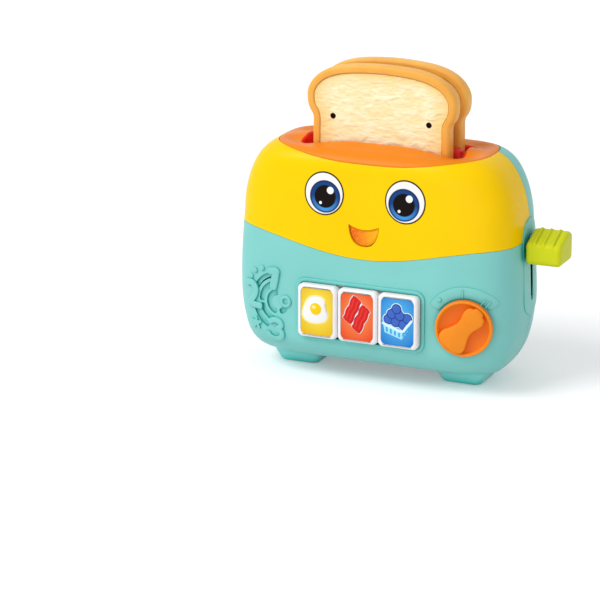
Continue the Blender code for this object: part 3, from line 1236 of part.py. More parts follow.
def make_mouth():
    """Translucent smile, its light and the small board that carries the light."""
    lens = keep(prism("lens_block", mouth_outline(-GAP), OVERRUN, front_frame(-HALF_DEPTH + OVERRUN / 2)),
                body_form("lens_front", LENS_INSET, fine=False))
    cut(lens, body_form("lens_back", LENS_INSET + LENS_THICKNESS, fine=False))
    finish(lens, "mouth_lens", material("red_lens", LENS_RED, 0.2))
    board = box("led_board_plate",
                (-LED_BOARD_WIDTH / 2, LED_BOARD_Y, LED_BOARD_Z - LED_BOARD_HEIGHT / 2),
                (LED_BOARD_WIDTH / 2, LED_BOARD_Y + LED_BOARD_THICKNESS, LED_BOARD_Z + LED_BOARD_HEIGHT / 2))
    finish(board, "led_board", material("board_green", BOARD_GREEN, 0.4))
    lamp_profile = [(0, 0), (LED_RADIUS, 0), (LED_RADIUS, LED_LENGTH - LED_RADIUS)]
    for share in (0.25, 0.5, 0.75, 1):
        angle = math.pi / 2 * share
        lamp_profile.append((LED_RADIUS * math.cos(angle), LED_LENGTH - LED_RADIUS * (1 - math.sin(angle))))
    lamp_profile[-1] = (0, LED_LENGTH)
    place = Matrix.Translation((0, LED_BOARD_Y - GAP, LED_Z)) @ FRONT_PLANE
    finish(turned("lamp_profile", lamp_profile, place, 20), "mouth_led", material("lamp", YELLOW, 0.15))


def make_battery_parts():
    """Door with its screw, two cells and the plates that join them."""
    door = keep(door_block("battery_door_block", 0, DOOR_SEAT_Y, OVERRUN), OUTER)
    screw_seat_y = DOOR_SEAT_Y + WALL - DOOR_SCREW_HEAD_HEIGHT
    cut(door, rod("door_screw_sink", DOOR_SCREW_HEAD_RADIUS + GAP, OVERRUN,
                  (DOOR_SCREW_X, screw_seat_y - GAP, BAY_MIDDLE_Z), (0, 1, 0), 20),
        rod("door_screw_hole", DOOR_SCREW_RADIUS + GAP, 2 * OVERRUN,
            (DOOR_SCREW_X, DOOR_SEAT_Y - OVERRUN, BAY_MIDDLE_Z), (0, 1, 0), 16))
    finish(door, "battery_door", material("teal_plastic", TEAL, 0.38))
    head = rod("door_screw_head", DOOR_SCREW_HEAD_RADIUS, DOOR_SCREW_HEAD_HEIGHT - GAP,
               (DOOR_SCREW_X, screw_seat_y, BAY_MIDDLE_Z), (0, 1, 0), 20)
    shank_start_y = screw_seat_y + DOOR_SCREW_HEAD_HEIGHT / 2
    shank = rod("door_screw_shank", DOOR_SCREW_RADIUS, DOOR_SCREW_REACH + shank_start_y - DOOR_SEAT_Y,
                (DOOR_SCREW_X, shank_start_y, BAY_MIDDLE_Z), (0, -1, 0), 14)
    finish(join(head, shank), "battery_door_screw", material("steel", STEEL, 0.3, 1))

    for name, row, side in (("lower_battery", 0, 1), ("upper_battery", 1, -1)):
        z = BAY_BOTTOM_Z + CELL_CLEARANCE + CELL_RADIUS + row * (2 * CELL_RADIUS + CELL_CLEARANCE)
        y = BAY_FLOOR_Y + CELL_CLEARANCE + CELL_RADIUS
        start_x = -side * (CELL_LENGTH + CELL_NUB_LENGTH) / 2
        cell = rod(name + "_can", CELL_RADIUS, CELL_LENGTH, (start_x, y, z), (side, 0, 0), 28)
        nub = rod(name + "_nub", CELL_NUB_RADIUS, CELL_LENGTH + CELL_NUB_LENGTH - CELL_RADIUS,
                  (start_x + side * CELL_RADIUS, y, z), (side, 0, 0), 16)
        finish(join(cell, nub), name, material("battery_wrap", BLACK, 0.4))
    for name, side in (("left_battery_contact", -1), ("right_battery_contact", 1)):
        wall_x = side * (BAY_HALF_LENGTH - GAP)
        inner_x = wall_x - side * CONTACT_THICKNESS
        plate = box(name + "_plate", (min(wall_x, inner_x), BAY_FLOOR_Y + GAP, BAY_BOTTOM_Z + GAP),
                    (max(wall_x, inner_x), DOOR_SEAT_Y - CELL_RADIUS, BAY_TOP_Z - GAP))
        finish(plate, name, material("steel", STEEL, 0.3, 1))


def make_case_screws():
    """The four screws that pull the rear shell onto the front pieces."""
    for name, x, z in case_screw_places():
        seat_y = screw_head_y(x, z) - CASE_SCREW_HEAD_HEIGHT
        head = rod(name + "_head", CASE_SCREW_HEAD_RADIUS, CASE_SCREW_HEAD_HEIGHT, (x, seat_y + GAP, z),
                   (0, 1, 0), 14)
        shank = rod(name + "_shank", CASE_SCREW_RADIUS, CASE_SCREW_LENGTH,
                    (x, seat_y + CASE_SCREW_HEAD_HEIGHT / 2, z), (0, -1, 0), 10)
        finish(join(head, shank), name, material("steel", STEEL, 0.3, 1))


make_front_shell()
make_face_cover()
make_rear_shell()
make_feet()
make_top_insert()
make_toast_well()
make_guide_bracket()
make_lever()
make_slices()
make_buttons()
make_circuit_board()
make_dial()
make_speaker()
make_mouth()
make_battery_parts()
make_case_screws()
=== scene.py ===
# %% [markdown]
# # A toy toaster
# The imported model is loaded first. It fixes every place and size, and each new piece either
# dresses one of its nodes or stands for one.

# %% Load the imported model
import functools
import json
import math

import bmesh
import bpy
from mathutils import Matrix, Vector, noise

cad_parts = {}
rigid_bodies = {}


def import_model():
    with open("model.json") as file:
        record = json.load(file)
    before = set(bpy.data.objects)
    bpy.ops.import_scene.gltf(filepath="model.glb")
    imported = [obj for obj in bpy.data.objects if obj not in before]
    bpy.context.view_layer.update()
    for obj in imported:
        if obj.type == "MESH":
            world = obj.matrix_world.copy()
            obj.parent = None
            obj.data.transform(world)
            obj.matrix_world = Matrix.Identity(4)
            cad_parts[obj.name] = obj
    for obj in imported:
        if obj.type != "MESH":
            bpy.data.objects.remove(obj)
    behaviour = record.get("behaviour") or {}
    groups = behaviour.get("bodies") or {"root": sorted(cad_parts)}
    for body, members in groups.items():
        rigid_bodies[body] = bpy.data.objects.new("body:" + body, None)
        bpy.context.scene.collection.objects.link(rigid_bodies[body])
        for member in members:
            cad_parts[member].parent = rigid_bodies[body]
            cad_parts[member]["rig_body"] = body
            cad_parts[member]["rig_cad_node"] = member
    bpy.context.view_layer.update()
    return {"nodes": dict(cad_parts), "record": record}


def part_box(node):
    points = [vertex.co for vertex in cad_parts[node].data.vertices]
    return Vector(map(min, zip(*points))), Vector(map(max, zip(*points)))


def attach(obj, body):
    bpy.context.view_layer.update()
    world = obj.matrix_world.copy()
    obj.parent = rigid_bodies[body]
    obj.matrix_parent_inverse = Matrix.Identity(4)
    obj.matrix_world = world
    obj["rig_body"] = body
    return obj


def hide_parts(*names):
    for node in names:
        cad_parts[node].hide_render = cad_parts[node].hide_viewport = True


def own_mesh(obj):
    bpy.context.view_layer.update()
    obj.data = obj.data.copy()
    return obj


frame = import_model()
nodes = frame["nodes"]

# %% [markdown]
# The lever and the dial stick out of the body on one side each, so the model's origin lies a
# little off the body's own middle. Places below are measured from the body's middle on the
# floor, in millimetres, as they would be taken off the toy with a ruler.

# %% Places on the toy
MM = 0.001
BODY_MIDDLE = Vector((-12.7, 2.8, 0.0)) * MM


def place(x, y, z):
    """A point given in millimetres from the body's middle, in the model's frame."""
    return BODY_MIDDLE + Vector((x, y, z)) * MM


# %% [markdown]
# The casing is a rounded box. It could be a cube with a large bevel, but the real one has corners
# that differ above and below. So each level section is a superellipse, squarer than an ellipse,
# the bottom and the top draw in along quarter ellipses, and the upper half tapers a little. The
# same few numbers give the surface anywhere, so every part on it can be laid exactly in place.

# %% The form of the casing
HALF_WIDTH = 99.0
HALF_DEPTH = 44.0
BODY_TOP = 160.8
SHOULDER = 156.3
FOOT_HEIGHT = 8.0
LOW_CORNER = (22.0, 50.0)
TOP_CORNER = (28.8, 49.0)
LOW_FRONT = (34.0, 20.0)
TOP_FRONT = (12.5, 13.8)
TAPER_START = 65.0
WIDTH_TAPER = 0.046
DEPTH_TAPER = 0.049
TAPER_CURVE = 1.6
SQUARENESS = 3.9
WALL = 2.5
SEAM_Y = 8.0
GAP = 0.3


def corner_inset(travelled, height, width):
    """How far a quarter ellipse has drawn in after some height."""
    share = min(max(travelled / height, 0), 1)
    return width * (1 - math.sqrt(1 - share ** 2))


def half_size(z, half, taper, low, top, inset):
    """Half width or half depth of the casing at a height, drawn in by an inset all round."""
    shoulder = SHOULDER - inset
    corner_start = shoulder - top[1]
    lean = max(min(z, corner_start) - TAPER_START, 0) / TAPER_START
    size = half * (1 - taper * lean ** TAPER_CURVE) - inset
    size -= corner_inset(FOOT_HEIGHT + inset + low[1] - z, low[1], low[0])
    size -= corner_inset(z - corner_start, top[1], top[0])
    if z > shoulder:
        size *= math.sqrt(max(BODY_TOP - inset - z, 0) / (BODY_TOP - SHOULDER))
    return size


def half_width(z, inset=0.0):
    """Half width of the casing at a height."""
    return half_size(z, HALF_WIDTH, WIDTH_TAPER, LOW_CORNER, TOP_CORNER, inset)


def half_depth(z, inset=0.0):
    """Half depth of the casing at a height."""
    return half_size(z, HALF_DEPTH, DEPTH_TAPER, LOW_FRONT, TOP_FRONT, inset)


def on_front(x, z, rise=0.0):
    """The place on the front at a point of the front view, raised by some millimetres."""
    across = min(abs(x) / half_width(z), 1)
    return x, -half_depth(z) * (1 - across ** SQUARENESS) ** (1 / SQUARENESS) - rise, z


def on_side(y, z, rise=0.0):
    """The place on the lever side at a point of the side view, raised by some millimetres."""
    across = min(abs(y) / half_depth(z), 1)
    return half_width(z) * (1 - across ** SQUARENESS) ** (1 / SQUARENESS) + rise, y, z


def halved(low, high, holds, times):
    """The value between two up to which a condition holds, found by halving the span."""
    for _ in range(times):
        middle = (low + high) / 2
        low, high = (middle, high) if holds(middle) else (low, middle)
    return low


def top_height(x, y):
    """Height of the casing's upper surface over a place in plan."""
    def covered(z):
        width, depth = half_width(z), half_depth(z)
        if min(width, depth) <= 0:
            return False
        return (abs(x) / width) ** SQUARENESS + (abs(y) / depth) ** SQUARENESS < 1
    return halved(SHOULDER - TOP_FRONT[1], BODY_TOP, covered, 24)


print("front at the middle of the face:", [round(value, 1) for value in on_front(0, 128)])

# %% [markdown]
# A moulded form changes its section all the way, which no primitive does. So most pieces are
# skinned over a row of rings, outlines of equally many points. An end is filled with rungs from
# one side of the outline to the other, like a ladder, so that it can follow a curved surface and
# shades evenly.

# %% Skin a piece over rings
WELD = 0.002 * MM


def skinned(name, rings, closed=False):
    """A piece skinned over rings of millimetre points; a closed row joins its last ring to its first."""
    count = len(rings[0])
    faces = []
    pairs = [(index, index + 1) for index in range(len(rings) - 1)]
    if closed:
        pairs.append((len(rings) - 1, 0))
    for lower, upper in pairs:
        for index in range(count):
            following = (index + 1) % count
            faces.append((lower * count + index, lower * count + following,
                          upper * count + following, upper * count + index))
    if not closed:
        for start in (0, (len(rings) - 1) * count):
            for index in range(count // 2 - 1):
                faces.append((start + index, start + index + 1,
                              start + count - 2 - index, start + count - 1 - index))
    mesh = bpy.data.meshes.new(name)
    mesh.from_pydata([place(*point) for ring in rings for point in ring], [], faces)
    shape = bmesh.new()
    shape.from_mesh(mesh)
    bmesh.ops.remove_doubles(shape, verts=shape.verts, dist=WELD)
    bmesh.ops.recalc_face_normals(shape, faces=shape.faces)
    shape.to_mesh(mesh)
    shape.free()
    piece = bpy.data.objects.new(name, mesh)
    bpy.context.collection.objects.link(piece)
    return piece


def pushed(name, outline, depths):
    """A block whose front-view outline runs from one depth to another."""
    return skinned(name, [[(x, y, z) for x, z in outline] for y in depths])


def pick(piece):
    """Make one piece the active and only selected one."""
    bpy.ops.object.select_all(action='DESELECT')
    piece.select_set(True)
    bpy.context.view_layer.objects.active = piece
    return piece


def copied(piece, name):
    """A copy of a piece with its own mesh."""
    copy = piece.copy()
    copy.data = piece.data.copy()
    copy.name = name
    bpy.context.collection.objects.link(copy)
    return copy


def carve(piece, tool, operation='DIFFERENCE'):
    """Cut, keep or join one piece by another with a Boolean modifier, applied at once."""
    modifier = pick(piece).modifiers.new("carve", 'BOOLEAN')
    modifier.operation = operation
    modifier.solver = 'EXACT'
    modifier.object = tool
    bpy.ops.object.modifier_apply(modifier=modifier.name)
    return piece


def discard(*tools):
    """Remove cutting pieces that have done their work."""
    for tool in tools:
        bpy.data.objects.remove(tool)


def smooth(piece, degrees=35):
    """Shade a piece smoothly, with a crease where faces meet at more than an angle."""
    pick(piece)
    bpy.ops.object.shade_smooth_by_angle(angle=math.radians(degrees))
    return piece


def block(name, low, high):
    """A cutting block between two corners."""
    corners = ((low[0], low[1]), (high[0], low[1]), (high[0], high[1]), (low[0], high[1]))
    return skinned(name, [[(x, y, z) for x, y in corners] for z in (low[2], high[2])])


# %% [markdown]
# Outlines in two dimensions: a superellipse for the casing's sections, a rectangle with round
# corners for buttons and plates, and bands along an arc or a path. Each can be grown by a margin,
# and the growing is what makes rounded edges: a ring a little lower and a little wider each time.

# %% Outlines
def superellipse(width, depth, squareness, count):
    """Points of a superellipse with these half sizes, starting beside its long axis."""
    points = []
    for index in range(count):
        angle = math.tau * (index + 0.5) / count
        points.append((width * math.copysign(abs(math.cos(angle)) ** (2 / squareness), math.cos(angle)),
                       depth * math.copysign(abs(math.sin(angle)) ** (2 / squareness), math.sin(angle))))
    return points


def round_rectangle(width, height, corner, margin=0.0, centre=(0.0, 0.0), steps=8):
    """Points of a rectangle with round corners, grown by a margin."""
    radius = corner + margin
    points = []
    for index, (side, end) in enumerate(((1, 1), (-1, 1), (-1, -1), (1, -1))):
        for step in range(steps + 1):
            angle = (index + step / steps) * math.pi / 2
            points.append((centre[0] + side * (width / 2 - corner) + radius * math.cos(angle),
                           centre[1] + end * (height / 2 - corner) + radius * math.sin(angle)))
    return points


def quarter_turn(radius, steps):
    """Margin and depth pairs that round an edge, from its side to its face."""
    turns = [math.pi / 2 * step / steps for step in range(steps + 1)]
    return [(-radius * (1 - math.cos(turn)), radius * (1 - math.sin(turn))) for turn in turns]


def raised_edge(radius, rise, steps=3):
    """Margin and height pairs that round an edge up to a raised face."""
    return [(margin, rise - depth) for margin, depth in quarter_turn(radius, steps)]


CORNER_TURNS = [math.pi / 2 * (step + 0.5) / 6 for step in range(6)]


def band(stations, half, corners, placed):
    """Outline of a band along stations: along one side and back along the other, with its corners."""
    track = [(stations[0], -along, out) for along, out in corners]
    track += [(station, 0.0, half) for station in stations]
    track += [(stations[-1], along, out) for along, out in reversed(corners)]
    return [placed(station, along, side * out)
            for side, row in ((1, track), (-1, track[::-1])) for station, along, out in row]


def bent(radius, width, start, end, corner, margin=0.0, steps=20):
    """Outline of a band bent round the origin, with round corners, grown by a margin."""
    def placed(degrees, along, out):
        angle, far = math.radians(degrees), radius + out
        return (far * math.cos(angle) - along * math.sin(angle),
                far * math.sin(angle) + along * math.cos(angle))

    half, corner = width / 2 + margin, corner + margin
    stations = [start + (end - start) * step / steps for step in range(steps + 1)]
    corners = [(corner * math.cos(turn), half - corner * (1 - math.sin(turn))) for turn in CORNER_TURNS]
    return band(stations, half, corners, placed)


def ribbon(path, width, margin=0.0, tip=1.0):
    """Outline of a stroke along a path, grown by a margin; a tip of 1 is a round end, less is blunter."""
    def placed(index, along, out):
        before, after = path[max(index - 1, 0)], path[min(index + 1, len(path) - 1)]
        length = math.dist(before, after)
        step_x, step_z = (after[0] - before[0]) / length, (after[1] - before[1]) / length
        return (path[index][0] + along * step_x - out * step_z,
                path[index][1] + along * step_z + out * step_x)

    half = width / 2 + margin
    corners = [(tip * half * math.cos(turn), half * math.sin(turn)) for turn in CORNER_TURNS]
    return band(range(len(path)), half, corners, placed)


def curve_through(points, steps=6, closed=False):
    """Points of a smooth curve through a few chosen ones."""
    if closed:
        known = points[-1:] + points + points[:2]
    else:
        known = [tuple(2 * a - b for a, b in zip(points[0], points[1]))] + points
        known.append(tuple(2 * a - b for a, b in zip(points[-1], points[-2])))
    curve = []
    for first, second, third, fourth in zip(known, known[1:], known[2:], known[3:]):
        for step in range(steps):
            t = step / steps
            curve.append(tuple(0.5 * (2 * b + (c - a) * t + (2 * a - 5 * b + 4 * c - d) * t ** 2
                                      + (3 * b - a - 3 * c + d) * t ** 3)
                               for a, b, c, d in zip(first, second, third, fourth)))
    return curve if closed else curve + [points[-1]]


def ellipse(centre, across, up, margin=0.0, count=48):
    """Points of an ellipse with these half sizes, grown by a margin."""
    turns = [math.tau * (index + 0.5) / count for index in range(count)]
    return [(centre[0] + (across + margin) * math.cos(turn), centre[1] + (up + margin) * math.sin(turn))
            for turn in turns]


def circle(centre, radius, margin=0.0, count=32):
    """Points of a circle, grown by a margin."""
    return ellipse(centre, radius, radius, margin, count)


def between(first, second, share):
    """The point that lies a share of the way from one to another."""
    return tuple(a + (b - a) * share for a, b in zip(first, second))


def moved(points, x, z):
    """An outline moved to another place."""
    return [(across + x, up + z) for across, up in points]


def shifted(outline, distance):
    """A closed outline shifted sideways, to the left of the way it runs."""
    points = []
    for index, (x, z) in enumerate(outline):
        before, after = outline[index - 1], outline[(index + 1) % len(outline)]
        length = math.dist(before, after)
        points.append((x - distance * (after[1] - before[1]) / length,
                       z + distance * (after[0] - before[0]) / length))
    return points


# %% [markdown]
# The plastics are plain coloured mouldings. One flat colour would look like a drawing, because a
# real moulding isn't one value: the colour drifts a touch over the surface, the gloss changes
# where hands and the mould have polished it, and a very fine grain breaks the reflections. Some
# finishes also get painted shade, deeper in creases where little light comes. A shader bevel
# softens the sharp edges that cutting leaves.

# %% Materials
CREASE_SHADE_REACH = 5 * MM


def added(tree, kind, **settings):
    """One new shader node with its settings."""
    node = tree.nodes.new("ShaderNode" + kind)
    for name, value in settings.items():
        setattr(node, name, value)
    return node


def own_place(tree):
    """Where a point lies on the object, for patterns that stay on it."""
    return added(tree, "TexCoord").outputs["Object"]


def blended(tree, factor, first, second):
    """Mix two colours by a factor; each colour is a socket or plain."""
    mix = added(tree, "Mix", data_type='RGBA', clamp_factor=True)
    tree.links.new(factor, mix.inputs[0])
    for index, value in ((6, first), (7, second)):
        if isinstance(value, bpy.types.NodeSocket):
            tree.links.new(value, mix.inputs[index])
        else:
            mix.inputs[index].default_value = (*value, 1)
    return mix.outputs[2]


def spread(tree, value, start, end, low=0.0, high=1.0):
    """Carry a value from one range to another."""
    ranged = added(tree, "MapRange")
    for name, number in (("From Min", start), ("From Max", end), ("To Min", low), ("To Max", high)):
        ranged.inputs[name].default_value = number
    tree.links.new(value, ranged.inputs["Value"])
    return ranged.outputs[0]


def noise_value(tree, scale, detail=3.0):
    """A noise pattern laid through the object."""
    pattern = added(tree, "TexNoise")
    pattern.inputs["Scale"].default_value = scale
    pattern.inputs["Detail"].default_value = detail
    tree.links.new(own_place(tree), pattern.inputs["Vector"])
    return pattern.outputs[0]


def drifting(tree, colour, drift=0.06, scale=28):
    """A colour that drifts a little paler and deeper over the surface."""
    paler = tuple(min(value * (1 + drift), 1) for value in colour)
    deeper = tuple(value * (1 - drift) for value in colour)
    return blended(tree, spread(tree, noise_value(tree, scale), 0.35, 0.65), deeper, paler)


def crease_shaded(open_colour, crease_shade_colour, drift=0.02):
    """A colour painted deeper in grooves and along reliefs: painted shade where little light comes."""
    def build(tree):
        hollow = added(tree, "AmbientOcclusion", samples=8)
        hollow.inputs["Distance"].default_value = CREASE_SHADE_REACH
        # Painted shade: where ambient occlusion finds a crease, the colour turns to the crease shade colour.
        return blended(tree, spread(tree, hollow.outputs["AO"], 0.3, 0.95), crease_shade_colour,
                       drifting(tree, open_colour, drift))
    return build


def fine_grain(tree):
    """The fine texture that a mould leaves, and how deep it is."""
    return noise_value(tree, 900, 2), 0.2 * MM


def plastic(name, colour, roughness=0.35, drift=0.06, grain=0.03, edge=0.4, sheen=0.25, metal=0.0,
            texture=fine_grain):
    """A moulded finish; the colour may be a function that builds it in the node tree."""
    finish = bpy.data.materials.new(name)
    finish.use_nodes = True
    tree = finish.node_tree
    shader = tree.nodes["Principled BSDF"]
    base = colour(tree) if callable(colour) else drifting(tree, colour, drift)
    tree.links.new(base, shader.inputs["Base Color"])
    polish = spread(tree, noise_value(tree, 90, 4), 0.3, 0.7, roughness * 0.85, roughness * 1.15)
    tree.links.new(polish, shader.inputs["Roughness"])
    shader.inputs["Specular IOR Level"].default_value = sheen
    shader.inputs["Metallic"].default_value = metal
    bump = added(tree, "Bump")
    bump.inputs["Strength"].default_value = grain
    height, bump.inputs["Distance"].default_value = texture(tree)
    tree.links.new(height, bump.inputs["Height"])
    if edge:
        softened = added(tree, "Bevel", samples=4)
        softened.inputs["Radius"].default_value = edge * MM
        tree.links.new(softened.outputs[0], bump.inputs["Normal"])
    tree.links.new(bump.outputs[0], shader.inputs["Normal"])
    return finish


# Teal, the feet's teal and lime carry painted shade in their creases.
TEAL = plastic("teal_moulding", crease_shaded((0.22, 0.60, 0.565), (0.0, 0.42, 0.385)), 0.36, sheen=0.14)
# The feet's teal is painted paler than the body's: painted light that stands in for light bouncing up from the
# floor onto the shaded feet.
LIT_FOOT_TEAL = plastic("foot_moulding_painted_lighter", crease_shaded((0.27, 0.76, 0.72), (0.03, 0.66, 0.60)), 0.36, sheen=0.14)
YELLOW = plastic("yellow_moulding", (0.96, 0.605, 0.0), 0.30, drift=0.02, grain=0.01, sheen=0.09)
LIME = plastic("lime_moulding", crease_shaded((0.62, 0.66, 0.010), (0.36, 0.46, 0.0)), 0.42, sheen=0.15)
WHITE = plastic("white_moulding", (0.86, 0.85, 0.86), 0.28, drift=0.02)
print("materials:", len(bpy.data.materials))


def dress(piece, finish, slot_name, body, *replaced):
    """Give a piece its finish, let it move with a body and stand for CAD nodes; the slot name is not used."""
    piece.data.materials.clear()
    piece.data.materials.append(finish)
    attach(piece, body)
    if replaced:
        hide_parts(*replaced)
    return piece

# %% [markdown]
# The casing is moulded in three visible parts: a teal lower front, a yellow face cover and a teal
# back. Each could be skinned by itself, but the edges would never quite meet. All three are cut
# from one smooth body instead, so the surface runs on across the joints. Each part is hollowed,
# and a narrow gap is left wherever two parts meet, which shows as a fine line.

# %% The whole body, and the tools that divide it
JOINT_HEIGHT = 92.9
JOINT_SWING = 6.7
PANEL_REACH = 15.0
LEVER_SLOT = (2.3, 59.3, 99.9)
PAST_SIDE, PAST_BACK, PAST_TOP, BELOW = 130, 70, 200, -5
THROUGH_FRONT = (-20, -60)


def body_form(name, inset=0.0, columns=168, steps=12):
    """The closed body, drawn in by an inset all round."""
    bottom, shoulder, top = FOOT_HEIGHT + inset, SHOULDER - inset, BODY_TOP - inset
    turns = [math.pi / 2 * step / steps for step in range(steps + 1)]
    levels = [bottom + LOW_FRONT[1] * (1 - math.cos(turn)) for turn in turns]
    for end in (bottom + LOW_CORNER[1], shoulder - TOP_CORNER[1], shoulder - TOP_FRONT[1]):
        start = levels[-1]
        levels += [start + (end - start) * step / steps for step in range(1, steps + 1)]
    start = levels[-1]
    levels += [start + (shoulder - start) * math.sin(turn) for turn in turns[1:]]
    levels += [top - (top - shoulder) * (1 - step / steps) ** 2 for step in range(1, steps)]
    return skinned(name, [[(x, y, z) for x, y in superellipse(half_width(z, inset), half_depth(z, inset),
                                                              SQUARENESS, columns)] for z in levels])


def face_line(x):
    """Height of the joint between the yellow cover and the teal front."""
    return JOINT_HEIGHT - JOINT_SWING * math.cos(math.pi * x / HALF_WIDTH)


def capsule(reach, low=62.0, high=98.0, steps=16):
    """Upright outline with round ends, round the line the lever travels along."""
    half_turn = [math.pi * step / steps for step in range(steps + 1)]
    return [(SEAM_Y + reach * math.cos(start + turn), end + reach * math.sin(start + turn))
            for end, start in ((high, 0.0), (low, math.pi)) for turn in half_turn]


def across_side(name, outline, places):
    """A block whose side-view outline runs from one place across to another."""
    return skinned(name, [[(x, y, z) for y, z in outline] for x in places])


def cover_tool(clearance):
    """Everything that belongs to the face cover, grown by a clearance."""
    line = [(x, face_line(x) - clearance) for x in (-125 + 2.5 * step for step in range(101))]
    outline = line + [(x, PAST_TOP) for x, _ in reversed(line)]
    tool = pushed("cover_tool", outline, (SEAM_Y + clearance, -PAST_BACK))
    panel = across_side("panel_tool", capsule(PANEL_REACH - clearance), (60, PAST_SIDE))
    carve(tool, panel)
    discard(panel)
    return tool


def shell(name, region, *tools):
    """The part of the body that lies in a region, hollowed and then cut by tools."""
    piece = carve(copied(outer, name), region, 'INTERSECT')
    for tool in (inner, *tools):
        carve(piece, tool)
    return piece


BUTTON_X = (-30.6, -1.9, 26.8)
BUTTON_Z = 48.4
BUTTON_SIZE = (28.2, 36.4)
BUTTON_CORNER = 3.6
ROW_SIZE = (BUTTON_X[2] - BUTTON_X[0] + BUTTON_SIZE[0], BUTTON_SIZE[1])
ROW_CENTRE = (BUTTON_X[1], BUTTON_Z)
GRILLE = (-62.0, 49.5)
GRILLE_ARCS = ((6.6, 100, 252), (6.6, 296, 322), (12.5, 102, 178), (12.5, 198, 254),
               (18.6, 106, 162), (18.6, 192, 244))
GROOVE_WIDTH = 3.9
GROOVE_DEPTH = 1.3
GROOVE_CORNER = 1.4
SLIT_WIDTH = 0.8
SLIT_INSET = 1.5
HAIR_GAP = 0.08
INSERT_SIZE = (74.0, 39.3, 3.0)

outer = body_form("outer_body")
inner = body_form("inner_body", WALL, columns=96, steps=6)
insert_outline = superellipse(INSERT_SIZE[0] + GAP / 2, INSERT_SIZE[1] + GAP / 2, INSERT_SIZE[2], 160)
insert_tool = skinned("insert_tool", [[(x, y, z) for x, y in insert_outline] for z in (144.0, 180.0)])
lever_slot_tool = across_side("lever_slot_tool", capsule(*LEVER_SLOT), (80, 120))
print("outer body:", len(outer.data.polygons), "faces")

# %% [markdown]
# The yellow cover is what the cover tool leaves of the body. The mouth hole goes right through
# it for the lamp's lens, and takes its smile from two curves between the same corners.

# %% The face cover
MOUTH_Z = 109.0
MOUTH_HALF = 10.5
MOUTH_DROP = 14.0
MOUTH_SAG = 2.8
MOUTH_CURVE = 2.4


def smile(margin, count=28):
    """A plain even smile, shallow above and deep below, scaled about its middle by a margin."""
    shares = [math.cos(math.pi * (step + 0.5) / (count + 1)) for step in range(count + 1)]
    upper = [(share * MOUTH_HALF, -MOUTH_SAG * (1 - share ** 2)) for share in shares]
    lower = [(share * MOUTH_HALF, -MOUTH_DROP * math.sqrt(1 - abs(share) ** MOUTH_CURVE)) for share in shares]
    middle = -(MOUTH_DROP + MOUTH_SAG) / 2
    grown = 1 + margin / (MOUTH_DROP + middle)
    return [(x * grown, MOUTH_Z + middle + (z - middle) * grown) for x, z in upper + lower[::-1]]


half_tool = cover_tool(-HAIR_GAP)
mouth_tool = pushed("mouth_tool", smile(GAP / 2), THROUGH_FRONT)
cover = shell("face_skin", half_tool, insert_tool, mouth_tool)
discard(mouth_tool, half_tool)
dress(smooth(cover), YELLOW, "yellow_plastic", "casing", "face_cover")
print("face cover:", len(cover.data.polygons), "faces")

# %% [markdown]
# The teal front takes the rest, with one window for the row of buttons and a grille over the
# speaker. The grille is a set of shallow grooves on three circles round one middle. A groove
# follows the curved front, and in the outer ones a narrow slit along the inner edge goes through.

# %% The teal front and back
def row_outline(margin, steps=8):
    """Outline round the whole row of buttons, grown by a margin."""
    return round_rectangle(*ROW_SIZE, BUTTON_CORNER, margin, ROW_CENTRE, steps)


front_half = block("front_half", (-PAST_SIDE, -PAST_BACK, BELOW), (PAST_SIDE, SEAM_Y - GAP / 2, PAST_TOP))
cover_space = cover_tool(HAIR_GAP)
window = pushed("window_tool", row_outline(0.5), (-30, -60))
teal_front = shell("front_skin", front_half, cover_space, window)
for radius, start, end in GRILLE_ARCS:
    groove = moved(bent(radius, GROOVE_WIDTH, start, end, GROOVE_CORNER), *GRILLE)
    tools = [skinned("groove_tool", [[on_front(x, z, rise) for x, z in groove]
                                     for rise in (-GROOVE_DEPTH, 3)])]
    if radius == GRILLE_ARCS[-1][0]:
        slit = bent(radius - SLIT_INSET, SLIT_WIDTH, start + 5, end - 5, SLIT_WIDTH / 2)
        tools.append(pushed("slit_tool", moved(slit, *GRILLE), THROUGH_FRONT))
    for tool in tools:
        carve(teal_front, tool)
    discard(*tools)
carve(teal_front, lever_slot_tool)
dress(smooth(teal_front), TEAL, "teal_plastic", "casing", "front_shell")

rear_half = block("rear_half", (-PAST_SIDE, SEAM_Y + GAP / 2, BELOW), (PAST_SIDE, PAST_BACK, PAST_TOP))
teal_back = shell("rear_skin", rear_half, insert_tool, lever_slot_tool)
discard(front_half, cover_space, window, rear_half)
print("teal front:", len(teal_front.data.polygons), "teal back:", len(teal_back.data.polygons))

# %% [markdown]
# Low raised forms lie on the casing: the frame round the buttons and the panel behind the lever.
# A flat plate would stand off the curved wall, so they are skinned from a base just under the
# surface to a face a little above it, and every point is laid on the casing's own curve.

# %% Raised frame and lever panel
SINK = 0.8
RELIEF = 0.7
FRAME_RISE = 1.05
FRAME_MARGIN = 2.9
SLOT_RIM = (2.5, 59.5, 99.7)

frame_section = [(FRAME_MARGIN, -SINK)]
frame_section += [(FRAME_MARGIN + inward, height) for inward, height in raised_edge(0.6, FRAME_RISE, 4)]
frame_section += [(0.8, FRAME_RISE), (0.55, FRAME_RISE - 0.1), (0.5, FRAME_RISE - 0.3), (0.5, -3.0)]
frame_rings = [[on_front(x, z, rise) for x, z in row_outline(margin, 14)] for margin, rise in frame_section]
button_frame = smooth(skinned("button_frame", frame_rings, closed=True), 40)
dress(button_frame, TEAL, "teal_plastic", "casing")

